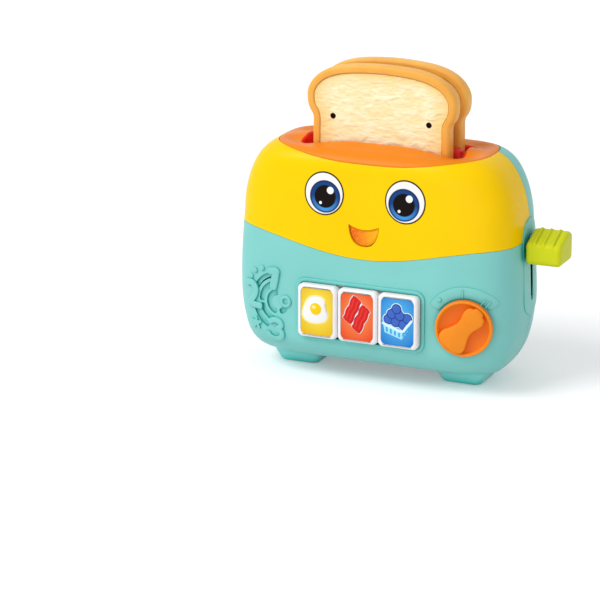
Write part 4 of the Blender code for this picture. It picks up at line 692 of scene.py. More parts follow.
panel_section = [(0.0, -SINK), (0.0, 0.3)] + raised_edge(0.4, RELIEF)
panel_rings = [[on_side(y, z, rise) for y, z in capsule(PANEL_REACH + inward, steps=32)]
               for inward, rise in panel_section]
panel_edge = capsule(PANEL_REACH - 0.5, steps=32)
slot_edge = capsule(*SLOT_RIM, steps=32)
for step in range(1, 9):
    panel_rings.append([on_side(*between(start, end, step / 8), RELIEF)
                        for start, end in zip(panel_edge, slot_edge)])
for rise in (RELIEF - 0.3, -SINK):
    panel_rings.append([on_side(y, z, rise) for y, z in capsule(*LEVER_SLOT, steps=32)])
lever_panel = smooth(skinned("lever_panel", panel_rings, closed=True), 40)
dress(lever_panel, TEAL, "teal_plastic", "casing")
print("button frame:", len(button_frame.data.polygons), "lever panel:", len(lever_panel.data.polygons))

# %% [markdown]
# Helpers for what follows. A relief is a low raised form: its outline starts a little under
# the surface, and an edge with a quarter turn leads to a face that is filled with rungs. A
# measured layer stores one number in each vertex, such as how deep it lies, for a finish to use.

# %% Reliefs and measured layers
def relief(name, outline, rise, finish, slot_name, surface=on_front, edge=0.35, sink=SINK, body="casing",
           shares=()):
    """A raised form whose outline is a function of a margin, laid on a surface."""
    rings = [[surface(x, z, -sink) for x, z in outline(0)]]
    rings += [[surface(x, z, height) for x, z in outline(margin)]
              for margin, height in raised_edge(edge, rise)]
    face = outline(-edge)
    middle = (sum(x for x, _ in face) / len(face), sum(z for _, z in face) / len(face))
    for share in shares:
        rings.append([surface(*between(middle, point, share), rise) for point in face])
    return dress(smooth(skinned(name, rings), 40), finish, slot_name, body)


def measured(piece, layer_name, value):
    """Store in each vertex a value worked out from its place in millimetres."""
    layer = piece.data.attributes.new(layer_name, 'FLOAT', 'POINT')
    for vertex, entry in zip(piece.data.vertices, layer.data):
        entry.value = value(*((vertex.co - BODY_MIDDLE) / MM))


def layer_value(tree, layer_name):
    """A measured layer as a value in a finish."""
    return added(tree, "Attribute", attribute_name=layer_name).outputs["Fac"]


def scaled_place(tree, scale, offset=(0, 0, 0)):
    """Where a point lies on the object, scaled and moved."""
    mapping = added(tree, "Mapping")
    mapping.inputs["Scale"].default_value = scale
    mapping.inputs["Location"].default_value = offset
    tree.links.new(own_place(tree), mapping.inputs["Vector"])
    return mapping.outputs[0]


def view_distance(tree, centre, reach):
    """Distance from a point in the front view, in shares of a reach each way."""
    middle = place(centre[0], 0, centre[1])
    scale = (1 / (reach[0] * MM), 0, 1 / (reach[1] * MM))
    offset = (-middle.x * scale[0], 0, -middle.z * scale[2])
    length = added(tree, "VectorMath", operation='LENGTH')
    tree.links.new(scaled_place(tree, scale, offset), length.inputs[0])
    return length.outputs["Value"]


def inside(tree, distance, edge, soft=0.02):
    """One inside an edge and nothing outside it."""
    return spread(tree, distance, edge - soft, edge + soft, 1, 0)


# %% [markdown]
# The mouth is a clear moulded lens over a lamp. A bump texture could fake its sparkle, but its
# front is a pillow set with small dimples that scatter the light, so they are in the mesh. It is
# built from upright slices: each slice is a closed ring of front points and back points. The
# colour runs from red at one corner to yellow at the other, with a painted highlight, a little
# paler, round each dimple.

# %% The mouth lens
LENS_ROWS = 40
LENS_COLUMNS = 56
LENS_INSET = 0.3
LENS_FRONT = -1.6
LENS_BACK = -3.2
PILLOW_RISE = 0.9
DIMPLE_DEPTH = 0.35


def smile_heights(x, margin):
    """Lower and upper edge of the smile at a place across, drawn in by a margin."""
    share = min(abs(x) / (MOUTH_HALF - margin), 0.999)
    low = MOUTH_Z - (MOUTH_DROP - margin) * math.sqrt(1 - share ** MOUTH_CURVE)
    high = MOUTH_Z - MOUTH_SAG * (1 - share ** 2) - margin * 0.6
    return min(low, high - 0.05), high


lens_rings = []
for column in range(LENS_COLUMNS + 1):
    x = -(MOUTH_HALF - 0.35) * math.cos(math.pi * column / LENS_COLUMNS)
    low, high = smile_heights(x, LENS_INSET)
    heights = [low + (high - low) * row / LENS_ROWS for row in range(LENS_ROWS + 1)]
    ring = []
    for z in heights:
        rim = max(min(high - z, z - low, (MOUTH_HALF - LENS_INSET - abs(x)) * 1.4), 0)
        pillow = PILLOW_RISE * math.sqrt(min(rim / 2.5, 1))
        cell = noise.voronoi(Vector((x, z, 0)) * 0.62)[0]
        dimple = DIMPLE_DEPTH * (cell[0] - 0.4) * min(rim / 1.2, 1)
        ring.append(on_front(x, z, LENS_FRONT + pillow + dimple))
    lens_rings.append(ring + [on_front(x, z, LENS_BACK) for z in reversed(heights)])
lens = smooth(skinned("mouth_lens_clear", lens_rings), 60)


def lens_colour(tree):
    """Red at the left corner, yellow at the right, with a painted highlight a little paler round each dimple.
    """
    parts = added(tree, "SeparateXYZ")
    tree.links.new(own_place(tree), parts.inputs[0])
    across = spread(tree, parts.outputs[0], place(-7, 0, 0).x, place(9, 0, 0).x)
    cells = added(tree, "TexVoronoi")
    cells.inputs["Scale"].default_value = 620
    tree.links.new(own_place(tree), cells.inputs["Vector"])
    warm = blended(tree, across, (0.78, 0.05, 0.006), (0.93, 0.43, 0.005))
    # Painted highlight: a paler orange round each dimple.
    return blended(tree, spread(tree, cells.outputs[0], 0.1, 0.8, 0.0, 0.35), warm, (0.98, 0.56, 0.03))


dress(lens, plastic("red_lens", lens_colour, 0.2, edge=0, sheen=0.12), "red_lens", "casing", "mouth_lens")
print("mouth lens:", len(lens.data.polygons), "faces")

# %% [markdown]
# The eyes are printed on the cover as plain round discs of ink, so each is a very thin disc laid
# on the surface. An image would be the usual way to colour them. Here the finish works out the
# rings from distances to a few centres: a thin dark rim, the white, a blue iris that lightens
# downwards, a dark pupil and two white glints.

# %% Eyes
EYES = (-28.6, 28.6)
EYE_Z = 128.0
EYE_SIZE = (14.1, 14.6)
IRIS_PLACE = (0.8, -2.0)
IRIS_RADIUS = 10.8
PUPIL_RADIUS = 7.6
GLINTS = (((3.6, 4.4), 2.4), ((-3.2, -4.4), 1.0))


def eye_colour(centre_x):
    """The printed rings of one eye, as a function that builds them."""
    iris_x = centre_x - math.copysign(IRIS_PLACE[0], centre_x)
    iris_z = EYE_Z + IRIS_PLACE[1]

    def build(tree):
        whole = view_distance(tree, (centre_x, EYE_Z), EYE_SIZE)
        iris = view_distance(tree, (iris_x, iris_z), (IRIS_RADIUS, IRIS_RADIUS))
        # Painted shade: the white is a touch darker towards its rim.
        white = blended(tree, spread(tree, whole, 0.45, 1.0), (0.92, 0.90, 0.87), (0.88, 0.865, 0.85))
        low = view_distance(tree, (iris_x, iris_z - 7), (11, 8))
        blue = blended(tree, spread(tree, low, 0.2, 1.2), (0.06, 0.30, 0.72), (0.012, 0.055, 0.22))
        colour = blended(tree, inside(tree, iris, 1.0), white, blue)
        rim = added(tree, "Math", operation='MULTIPLY')
        tree.links.new(inside(tree, iris, 1.0), rim.inputs[0])
        tree.links.new(spread(tree, iris, 0.88, 0.96), rim.inputs[1])
        colour = blended(tree, rim.outputs[0], colour, (0.008, 0.022, 0.09))
        pupil_share = PUPIL_RADIUS / IRIS_RADIUS
        colour = blended(tree, inside(tree, iris, pupil_share), colour, (0.008, 0.005, 0.004))
        for (x, z), radius in GLINTS:
            glint = view_distance(tree, (iris_x + x, iris_z + z), (radius, radius))
            colour = blended(tree, inside(tree, glint, 1.0, 0.06), colour, (0.95, 0.95, 0.95))
        return blended(tree, spread(tree, whole, 0.925, 0.945), colour, (0.02, 0.014, 0.012))

    return build


for side_name, eye_x in zip(("left", "right"), EYES):
    ink = plastic(side_name + "_eye_ink", eye_colour(eye_x), 0.2, grain=0.01, edge=0, sheen=0.06)
    relief(side_name + "_eye", lambda margin: ellipse((eye_x, EYE_Z), *EYE_SIZE, margin, 96), 0.22, ink,
           "white_plastic", edge=0.15, sink=0.4, shares=(0.85, 0.7, 0.55, 0.4, 0.25, 0.1))
print("eyes at", EYES)

# %% [markdown]
# The orange top plate is one ring loft round the bread opening: over the plate, down the rolled
# lip, under it and back along the skirt. A flat plate with a cut hole would need its edge rounded
# afterwards, where cuts leave uneven faces. Here each ring is found along the same directions
# from the middle, so the faces stay even. Inside the lip, and more so at the ends of the slots,
# the orange is painted red: painted light standing in for light that comes up through the thin
# wall and off the red liner.

# %% The top plate with its rolled lip
SLICE_PITCH = 21.5
SLOT_HALF = (56.5, 6.6)
SLOT_CORNER = 6.0
SLOT_NOTCH = 1.0
LIP_ROUND = 2.2
LIP_BOTTOM = 150.0
SKIRT_BOTTOM = 144.3
PLATE_WALL = 2.0
PLATE_EDGE = 0.35
END_DIP = 3.2
FARTHEST = 90.0


def opening_margin(x, y):
    """How far a place in plan lies outside the bread opening; less than nothing inside it."""
    past_end = abs(x) - (SLOT_HALF[0] - SLOT_CORNER)
    past_side = abs(abs(y) - SLICE_PITCH / 2) - (SLOT_HALF[1] - SLOT_CORNER)
    outside = math.hypot(max(past_end, 0), max(past_side, 0)) + min(max(past_end, past_side), 0) - SLOT_CORNER
    if abs(y) < SLICE_PITCH / 2:
        outside = min(outside, abs(x) - (SLOT_HALF[0] - SLOT_NOTCH))
    return outside


def plate_margin(x, y):
    """How far a place lies outside the plate's oval, close to its edge."""
    width, depth, squareness = INSERT_SIZE
    share = (abs(x) / width) ** squareness + (abs(y) / depth) ** squareness
    return (share ** (1 / squareness) - 1) * depth


def edge_of(margin_of, margin):
    """Distances from the middle at which each direction leaves a region grown by a margin."""
    distances = []
    for bearing in bearings:
        x, y = math.cos(bearing), math.sin(bearing)
        distances.append(halved(0.0, FARTHEST, lambda far: margin_of(x * far, y * far) < margin, 28))
    return distances


def plate_bearings():
    """Directions that run evenly round the opening, closer at its corners."""
    side = SLICE_PITCH / 2 + SLOT_HALF[1]
    corner_x, corner_y = SLOT_HALF[0] - SLOT_CORNER, side - SLOT_CORNER
    quarter = [(SLOT_HALF[0], side * 0.7 * step / 14) for step in range(14)]
    quarter += [(corner_x + SLOT_CORNER * math.cos(turn), corner_y + SLOT_CORNER * math.sin(turn))
                for turn in (math.pi / 2 * step / 8 for step in range(9))]
    quarter += [(corner_x * (1 - step / 20), side) for step in range(1, 20)]
    first = [math.atan2(y, x) for x, y in quarter]
    half = first + [math.pi / 2] + [math.pi - bearing for bearing in reversed(first)]
    return half + [-bearing for bearing in reversed(half[1:-1])]


def eased(value, start, end):
    """Nothing before a start, one past an end, and smoothly between."""
    share = min(max((value - start) / (end - start), 0), 1)
    return share * share * (3 - 2 * share)


def dip(x, y):
    """How much lower the plate lies beside the opening's corners."""
    return END_DIP * eased(abs(x), 18, 54) * eased(abs(y), 2, 14)


def plate_ring(distances, fall=0.0, level=None, dipped=1.0):
    """One ring of the plate at distances from the middle, below the casing's top or at a level."""
    ring = []
    for bearing, far in zip(bearings, distances):
        x, y = far * math.cos(bearing), far * math.sin(bearing)
        ring.append((x, y, top_height(x, y) - fall - dipped * dip(x, y) if level is None else level))
    return ring


bearings = plate_bearings()
edges = edge_of(plate_margin, -GAP / 2)
skirts = edge_of(plate_margin, -GAP / 2 - PLATE_WALL)
lips = edge_of(opening_margin, LIP_ROUND)
inner_lip = edge_of(opening_margin, 0.0)
outer_lip = edge_of(opening_margin, PLATE_WALL)
plate_rings = [plate_ring([far - inward for far in edges], fall, dipped=0)
               for inward, fall in ((0, PLATE_EDGE), (0.1, 0.12), (PLATE_EDGE, 0))]
for step in range(1, 9):
    share = step / 8
    distances = [far - PLATE_EDGE + (near - far + PLATE_EDGE) * share for far, near in zip(edges, lips)]
    plate_rings.append(plate_ring(distances, dipped=eased(share, 0, 1)))
for step in range(1, 11):
    turn = math.pi / 2 * step / 10
    plate_rings.append(plate_ring(edge_of(opening_margin, LIP_ROUND * (1 - math.sin(turn))),
                                  LIP_ROUND * (1 - math.cos(turn))))
plate_rings += [plate_ring(inner_lip, level=LIP_BOTTOM + 0.6), plate_ring(inner_lip, level=LIP_BOTTOM),
                plate_ring(outer_lip, level=LIP_BOTTOM), plate_ring(outer_lip, PLATE_WALL + 1),
                plate_ring(edge_of(opening_margin, PLATE_WALL + 2), PLATE_WALL),
                plate_ring(skirts, PLATE_WALL), plate_ring(skirts, level=SKIRT_BOTTOM),
                plate_ring(edges, level=SKIRT_BOTTOM)]
plate = smooth(skinned("top_plate", plate_rings, closed=True), 40)


def red_light_depth(x, y, z):
    """How deep a place lies inside the lip, for the painted red light; the ends of the slots count as deeper,
    as they are painted redder.
    """
    margin = opening_margin(x, y)
    if margin > LIP_ROUND + 0.1:
        return 0.0
    return top_height(x, y) - dip(x, y) - z + 1.8 * eased(abs(x), 45, 55) * eased(LIP_ROUND - margin, 0, 1.4)


measured(plate, "fall", red_light_depth)


def plate_colour(tree):
    """Orange outside, painted red down inside the lip as painted light from the red liner."""
    fall = layer_value(tree, "fall")
    plain = drifting(tree, (0.83, 0.235, 0.010), 0.05, 24)
    # Painted light: red thrown up from the liner, stronger the deeper a place lies inside the lip.
    deep = blended(tree, spread(tree, fall, 0.15, 1.1), plain, (0.92, 0.075, 0.013))
    return blended(tree, spread(tree, fall, 1.0, 2.3), deep, (0.88, 0.03, 0.018))


PLATE_ORANGE = plastic("orange_top", plate_colour, 0.34, edge=0.3, sheen=0.12)
dress(plate, PLATE_ORANGE, "orange_plastic", "casing", "top_insert")
print("top plate:", len(plate.data.polygons), "faces")

# %% [markdown]
# The back is the same teal skin with a battery bay, a recess for its door and four sunk screws.
# The bay is a block joined to the inside of the wall and hollowed from behind. The door could be
# a plate of its own, but cut from the same body it lies flush with the curved wall round it. The
# feet widen upwards and are cut by the body, so they fit under its rounded bottom.

# %% The back, the battery bay and the feet
CELL_RADIUS = 7.25
BAY_HALF = 28.1
BAY_LOW = 31.5
BAY_HIGH = BAY_LOW + 4 * CELL_RADIUS + 1.8
DOOR_MIDDLE = (5.0, (BAY_LOW + BAY_HIGH) / 2)
DOOR_SEAT = HALF_DEPTH - WALL
DOOR_SIZE = (2 * BAY_HALF + 17, BAY_HIGH - BAY_LOW + 7)
DOOR_CORNER = 3.0
BAY_FLOOR = DOOR_SEAT - 2 * CELL_RADIUS - 1.2
BAY_WALL = 5.5
BOSS_WALL = 15.5
SCREW_PLACES = ((-80, 34), (80, 34), (-73, 132), (73, 132))
SHANK_RADIUS = 1.6
HEAD_RADIUS = 3.1
SEAT_DEPTH = 15.8
FOOT_X = 58.6
FOOT_ROUND = 1.8
FOOT_RISE = 14

bay_block = block("bay_block", (-BAY_HALF - BAY_WALL, BAY_FLOOR - 2, BAY_LOW - BAY_WALL),
                  (BAY_HALF + BOSS_WALL, PAST_BACK, BAY_HIGH + BAY_WALL))
core = body_form("core_body", WALL / 2, columns=96, steps=6)
carve(bay_block, core, 'INTERSECT')
carve(teal_back, bay_block, 'UNION')
bay = block("bay_space", (-BAY_HALF, BAY_FLOOR, BAY_LOW), (BAY_HALF, PAST_BACK, BAY_HIGH))
door_space = pushed("door_space", round_rectangle(*DOOR_SIZE, DOOR_CORNER, GAP, DOOR_MIDDLE),
                    (DOOR_SEAT - GAP, PAST_BACK))
carve(carve(teal_back, bay), door_space)
screw_low, screw_high = (Vector(corner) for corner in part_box("battery_door_screw"))
screw_middle = ((screw_low + screw_high) / 2 - BODY_MIDDLE) / MM
door_block = pushed("door_block", round_rectangle(*DOOR_SIZE, DOOR_CORNER, 0, DOOR_MIDDLE),
                    (DOOR_SEAT, PAST_BACK))
door = carve(copied(outer, "door_panel"), door_block, 'INTERSECT')
for radius, start in ((SHANK_RADIUS, 30), (HEAD_RADIUS + 0.1, HALF_DEPTH - 1.5)):
    hole = pushed("screw_hole", circle((screw_middle.x, screw_middle.z), radius), (start, PAST_BACK))
    carve(door, hole)
    discard(hole)
dress(smooth(door), TEAL, "teal_plastic", "battery_door", "battery_door")
print("the door's screw is at", [round(value, 1) for value in screw_middle])
for x, z in SCREW_PLACES:
    seat = -on_front(x, z)[1] - SEAT_DEPTH
    sink_section = ((SHANK_RADIUS, 0), (SHANK_RADIUS, seat), (HEAD_RADIUS, seat), (HEAD_RADIUS, PAST_BACK))
    sink = skinned("screw_sink", [[(across, y, up) for across, up in circle((x, z), radius)]
                                  for radius, y in sink_section])
    carve(teal_back, sink)
    discard(sink)
dress(smooth(teal_back), TEAL, "teal_plastic", "casing", "rear_shell")
discard(bay_block, bay, door_space, door_block, core)

foot_section = [(depth, FOOT_ROUND * math.sin(math.acos(1 - depth / FOOT_ROUND)) - FOOT_ROUND)
                for depth in (0, 0.1, 0.4, 0.9, FOOT_ROUND)] + [(FOOT_RISE, 0)]
for side_name, side in (("left", -1), ("right", 1)):
    foot_rings = []
    for z, margin in foot_section:
        share = z / FOOT_RISE
        size = (27.5 + 13.5 * share, 30 + 10 * share)
        outline = round_rectangle(*size, 5.0, margin, (side * FOOT_X, 0.0), steps=10)
        foot_rings.append([(x, y, z) for x, y in outline])
    foot = carve(skinned(side_name + "_foot_moulding_painted_lighter", foot_rings), outer)
    dress(smooth(foot), LIT_FOOT_TEAL, "teal_plastic", "casing", side_name + "_foot")
discard(outer, inner, insert_tool, lever_slot_tool)
print("back:", len(teal_back.data.polygons), "faces")

# %% [markdown]
# The numbers 1, 2 and 3, three dots, a ring and a star are moulded round the speaker grille, all
# low and round-edged. Text objects could give the numbers, but a font has no soft blunt strokes.
# Each stroke is a ribbon along a short path, so it needs only the few points a pen would pass.

# %% Numbers, dots and star
NUMBER_RISE = 1.35
STROKES = {
    "number_one_stem": ([(-63.0, 71.0), (-63.9, 65.6), (-65.2, 59.8)], 5.6),
    "number_one_flag": ([(-67.8, 70.4), (-65.4, 70.7), (-63.0, 71.0)], 5.0),
    "number_two_bow": (curve_through([(-87.2, 58.8), (-83.4, 59.8), (-80.0, 57.2), (-79.8, 53.2),
                                      (-82.0, 49.2), (-84.6, 45.4)]), 4.5),
    "number_two_foot": ([(-84.8, 44.6), (-80.4, 44.6), (-75.9, 44.6)], 4.6),
    "number_three_top": (curve_through([(-67.8, 35.4), (-64.4, 36.9), (-60.4, 36.0), (-59.4, 33.2),
                                        (-62.4, 30.9)]), 3.9),
    "number_three_low": (curve_through([(-62.8, 30.8), (-59.2, 29.2), (-59.0, 25.8), (-63.0, 23.4),
                                        (-67.4, 24.2), (-69.6, 26.6)]), 3.9),
}
DOTS = ((-83.6, 64.0), (-80.1, 68.6), (-74.2, 71.2))
RING_PLACE = (-56.0, 50.8)
RING_RADIUS = 3.1
RING_HALF = 1.3
STAR_PLACE = (-79.6, 32.0)
STAR_RADIUS = 4.8

for name, (path, stroke) in STROKES.items():
    relief(name, lambda margin: ribbon(path, stroke, margin, 0.8), NUMBER_RISE, TEAL, "teal_plastic",
           sink=1.2, edge=0.7)
for index, dot in enumerate(DOTS):
    relief(f"moulded_dot_{index + 1}", lambda margin: circle(dot, 1.9, margin, 24), 1.2, TEAL,
           "teal_plastic", edge=1.1)
ring_rings = []
for step in range(12):
    turn = math.tau * step / 12
    outline = circle(RING_PLACE, RING_RADIUS, RING_HALF * math.sin(turn), 40)
    ring_rings.append([on_front(x, z, 0.2 + 0.9 * math.cos(turn)) for x, z in outline])
dress(smooth(skinned("moulded_ring", ring_rings, closed=True), 60), TEAL, "teal_plastic", "casing")


def star(margin, count=80):
    """A five-pointed star with rounded tips, drawn as a wavy circle."""
    points = []
    for step in range(count):
        turn = math.tau * (step + 0.5) / count
        far = STAR_RADIUS * (0.72 + 0.28 * math.cos(5 * (turn - math.pi / 2))) + margin
        points.append((STAR_PLACE[0] + far * math.cos(turn), STAR_PLACE[1] + far * math.sin(turn)))
    return points


relief("moulded_star", star, 1.0, TEAL, "teal_plastic", shares=(0.6, 0.2))
print("strokes:", len(STROKES), "dots:", len(DOTS))

# %% [markdown]
# The dial lies flat on a slightly turned plane. Its places are given in that plane: across, up
# and outwards. The disc could be spun from a profile, and its rings here are just that, a circle
# for each step of the section. The long grip in its dish is shaped like a bottle. Above the dial
# a raised fan carries a dot, one bar and two bars for the three settings.

# %% Dial and its fan
DIAL_CENTRE = (70.5, 48.0)
DIAL_RADIUS = 19.0
DISH_RADIUS = 17.4
DISH_DEPTH = 2.6
DIAL_FACE = 4.8
SLOPE_REACH = 2.5
left_y, right_y = (on_front(DIAL_CENTRE[0] + step, DIAL_CENTRE[1])[1] for step in (-SLOPE_REACH, SLOPE_REACH))
DIAL_TURN = math.atan2(right_y - left_y, 2 * SLOPE_REACH)
DIAL_Y = on_front(*DIAL_CENTRE)[1]
GRIP_ANGLE = math.radians(50)


def on_dial(across, up, out=0.0):
    """A place in the dial's plane."""
    return (DIAL_CENTRE[0] + across * math.cos(DIAL_TURN) + out * math.sin(DIAL_TURN),
            DIAL_Y + across * math.sin(DIAL_TURN) - out * math.cos(DIAL_TURN), DIAL_CENTRE[1] + up)


dish_floor = DIAL_FACE - DISH_DEPTH
dial_section = [(3.0, -14), (3.0, 0.3), (DIAL_RADIUS - 0.4, 0.3), (DIAL_RADIUS, 0.7)]
dial_section += [(DIAL_RADIUS + margin, out) for margin, out in raised_edge(1.0, DIAL_FACE, 5)]
dial_section += [(DISH_RADIUS + 0.35, DIAL_FACE), (DISH_RADIUS + 0.1, DIAL_FACE - 0.1),
                 (DISH_RADIUS - 0.1, DIAL_FACE - 0.4), (DISH_RADIUS - 0.9, dish_floor + 0.5),
                 (DISH_RADIUS - 1.5, dish_floor), (1.0, dish_floor)]
dial_rings = [[on_dial(across, up, out) for across, up in circle((0, 0), radius, count=96)]
              for radius, out in dial_section]
dial = smooth(skinned("dial_disc", dial_rings), 40)

HALF_GRIP = [(-17.2, 0.0), (-16.7, 5.4), (-13.8, 9.3), (-9.8, 9.5), (-5.6, 7.6), (-1.0, 5.9), (3.2, 5.8),
             (7.4, 7.1), (11.0, 7.4), (13.8, 6.0), (14.8, 3.8), (16.4, 2.9), (17.0, 0.0)]
grip_side = curve_through(HALF_GRIP, 5)[1:-1]
GRIP_LINE = grip_side + [(x, -width) for x, width in reversed(grip_side)]


def grip_outline(margin):
    """The grip's outline, grown by a margin and turned to where it points."""
    cosine, sine = math.cos(GRIP_ANGLE), math.sin(GRIP_ANGLE)
    return [(x * cosine - z * sine, x * sine + z * cosine) for x, z in shifted(GRIP_LINE, margin)]


def below_face(x, y, z):
    """How far a place lies behind the face of the dial's rim."""
    out = (x - DIAL_CENTRE[0]) * math.sin(DIAL_TURN) - (y - DIAL_Y) * math.cos(DIAL_TURN)
    return max(DIAL_FACE - out, 0)


def dial_colour(tree):
    """Orange, redder in the shade of the dish."""
    depth = layer_value(tree, "depth")
    plain = drifting(tree, (0.88, 0.265, 0.014), 0.04, 40)
    return blended(tree, spread(tree, depth, 0.3, 2.6, 0.0, 0.55), plain, (0.84, 0.10, 0.012))


DIAL_ORANGE = plastic("orange_dial", dial_colour, 0.33, edge=0.3, sheen=0.15)
grip = relief("dial_grip", grip_outline, 5.8, DIAL_ORANGE, "orange_plastic", on_dial, edge=1.3, sink=-2.0,
              body="dial")
for piece in (dial, grip):
    measured(piece, "depth", below_face)
dress(dial, DIAL_ORANGE, "orange_plastic", "dial", "dial_knob")

BAR_HALF = 2.4
BARS = (("one_bar", (69.2, 70.8), -0.03), ("two_bars_first", (82.2, 65.6), 0.62),
        ("two_bars_second", (85.0, 63.8), 0.62))
relief("dial_fan", lambda margin: moved(bent(23.4, 7.6, 42, 145, 1.8, margin, 40), *DIAL_CENTRE), RELIEF,
       TEAL, "teal_plastic")
relief("off_dot", lambda margin: circle((53.8, 65.6), 1.6, margin, 28), 1.3, TEAL, "teal_plastic", edge=0.3)
for name, (x, z), lean in BARS:
    half_x, half_z = BAR_HALF * math.sin(lean), BAR_HALF * math.cos(lean)
    path = [(x - half_x, z - half_z), (x, z), (x + half_x, z + half_z)]
    relief(name, lambda margin: ribbon(path, 1.1, margin), 1.3, TEAL, "teal_plastic", edge=0.3)
print("dial turned by", round(math.degrees(DIAL_TURN), 1), "degrees")

# %% [markdown]
# Each button is a hollow cap with a flange that keeps it in the window, a stem that presses a
# rubber dome and a shallow recess for its label. It could be a bevelled cube with parts joined to
# it, but one row of rings makes it all, since every ring has as many points, from the stem's end
# round to the floor of the recess.

# %% Buttons
BUTTON_FACE = -49.5
CAP_ROUND = 2.2
LABEL_SIZE = (23.2, 33.2)
LABEL_CORNER = 4.2
STEM = ((7, 7), 3.5)
HOLLOW = ((24.2, 32.4), 2.0)
FLANGE = ((28.2, 39.2), 2.0)
CAP = (BUTTON_SIZE, BUTTON_CORNER)
LABEL = (LABEL_SIZE, LABEL_CORNER)

cap_section = [(-35.3, STEM, 0), (-47.5, STEM, 0), (-47.5, HOLLOW, 0), (-39.1, HOLLOW, 0), (-39.1, FLANGE, 0),
               (-40.6, FLANGE, 0), (-40.6, CAP, 0)]
cap_section += [(BUTTON_FACE + depth, CAP, margin) for margin, depth in quarter_turn(CAP_ROUND, 6)]
cap_section += [(BUTTON_FACE + depth, LABEL, margin)
                for margin, depth in ((0.15, 0.0), (0.03, 0.06), (0, 0.2), (0, 0.6))]


def button_ring(x, y, form, margin):
    """One ring of a button, or of its label, at a depth."""
    size, corner = form
    return [(across, y, up) for across, up in round_rectangle(*size, corner, margin, (x, BUTTON_Z), steps=10)]


for side_name, x in zip(("left", "middle", "right"), BUTTON_X):
    cap = smooth(skinned(side_name + "_cap", [button_ring(x, *station) for station in cap_section]), 50)
    dress(cap, WHITE, "white_plastic", side_name + "_button", side_name + "_button")
print("buttons at", BUTTON_X)

# %% [markdown]
# The labels are glossy stickers set into the recesses, darker at their edges. The pictures on
# them are flat layers of ink: a white shape with a yellow middle, two wavy strips, and a punnet
# of round berries. An image would print them in one go, but shapes stay sharp at any distance.
# Each layer lies a few hundredths of a millimetre above the one below.

# %% Labels
LABEL_FACE = -49.15
LABEL_BACK = -48.95
LABEL_GAP = 0.15
INK_LAYER = 0.05
INK = {
    "white": (0.88, 0.88, 0.88), "cream": (0.95, 0.80, 0.35), "yolk": (0.93, 0.60, 0.0),
    "glint": (0.98, 0.85, 0.3), "strip": (0.68, 0.012, 0.014), "strip_light": (0.80, 0.045, 0.025),
    "strip_edge": (0.30, 0.006, 0.01), "berry": (0.045, 0.13, 0.52), "berry_dark": (0.012, 0.035, 0.26),
    "basket": (0.36, 0.74, 0.90), "basket_shade": (0.20, 0.58, 0.80), "basket_light": (0.66, 0.90, 0.97),
    "sky": (0.05, 0.36, 0.75),
}
INKS = {name: plastic(name + "_ink", colour, 0.25, drift=0.05, grain=0.01, edge=0, sheen=0.18)
        for name, colour in INK.items()}
LABELS = {
    "left": (BUTTON_X[0], "yellow_label", (0.78, 0.47, 0.008), (0.91, 0.74, 0.07)),
    "middle": (BUTTON_X[1], "red_label", (0.80, 0.07, 0.014), (0.90, 0.24, 0.07)),
    "right": (BUTTON_X[2], "blue_label", (0.015, 0.20, 0.62), (0.09, 0.45, 0.82)),
}


def label_colour(centre_x, edge_colour, middle_colour):
    """Lighter in the middle, darker towards the edge."""
    def build(tree):
        far = view_distance(tree, (centre_x, BUTTON_Z + 2), (16, 21))
        return blended(tree, spread(tree, far, 0.25, 1.0), middle_colour, edge_colour)
    return build


def printed(side_name, name, outline, level, ink):
    """One flat layer of ink, whose outline is relative to the middle of its label."""
    x, slot_name, _, _ = LABELS[side_name]

    def surface(across, up, rise):
        return x + across, LABEL_FACE - INK_LAYER * level - rise, BUTTON_Z + up

    return relief(name, outline, 0.0, INKS[ink], "white_plastic" if ink == "white" else slot_name, surface,
                  edge=0.02, sink=0.06, body=side_name + "_button")


for side_name, (x, slot_name, edge_colour, middle_colour) in LABELS.items():
    sticker = plastic(slot_name, label_colour(x, edge_colour, middle_colour), 0.22, grain=0.01, edge=0,
                      sheen=0.18)
    rings = [button_ring(x, y, LABEL, margin - LABEL_GAP)
             for margin, y in ((0, LABEL_BACK), (0, LABEL_FACE + 0.1), (-0.1, LABEL_FACE))]
    dress(smooth(skinned(side_name + "_sticker", rings), 40), sticker, slot_name, side_name + "_button",
          side_name + "_button_label")
print("labels:", len(LABELS), "inks:", len(INKS))

# %% [markdown]
# The first picture is a soft irregular round with a yolk-yellow middle. The second is a pair of
# wavy strips, each with a white rim, a dark edge and two lighter streaks. They could be drawn by
# hand, point by point. A curve through a few points and a stroke along a path need far fewer.

# %% The round and the strips
BLOB = [(8.4, -2.4), (6.6, 2.6), (5.6, 7.6), (0.4, 9.2), (-4.8, 7.4), (-8.0, 1.6), (-9.0, -4.4), (-5.4, -8.2),
        (1.0, -8.8), (6.6, -6.8)]
BLOB_REACH = 8.6
BLOB_PLACE = (-0.8, 1.4)
RUNG_START = 3
YOLK_PLACE = (-0.8, 2.0)
GLINT_PLACE = (-2.1, 3.2)
STRIP_PLACES = ((-3.3, 4.6), (2.9, -1.0))
STRIP_LEAN = (0.42, 0.91)
STRIP_SWAY = 0.3


def blob(margin):
    """A soft irregular round, grown by a margin."""
    points = curve_through(BLOB, 6, closed=True)
    grown = 1 + margin / BLOB_REACH
    return [(BLOB_PLACE[0] + x * grown, BLOB_PLACE[1] + z * grown)
            for x, z in points[RUNG_START:] + points[:RUNG_START]]


def strip_path(centre, aside=0.0):
    """The wavy line along a leaning strip, or beside it."""
    path = []
    for step in range(25):
        along = -8.4 + 16.8 * step / 24
        out = STRIP_SWAY * math.sin(along * 0.8) + aside
        path.append((centre[0] + STRIP_LEAN[0] * along + STRIP_LEAN[1] * out,
                     centre[1] + STRIP_LEAN[1] * along - STRIP_LEAN[0] * out))
    return path


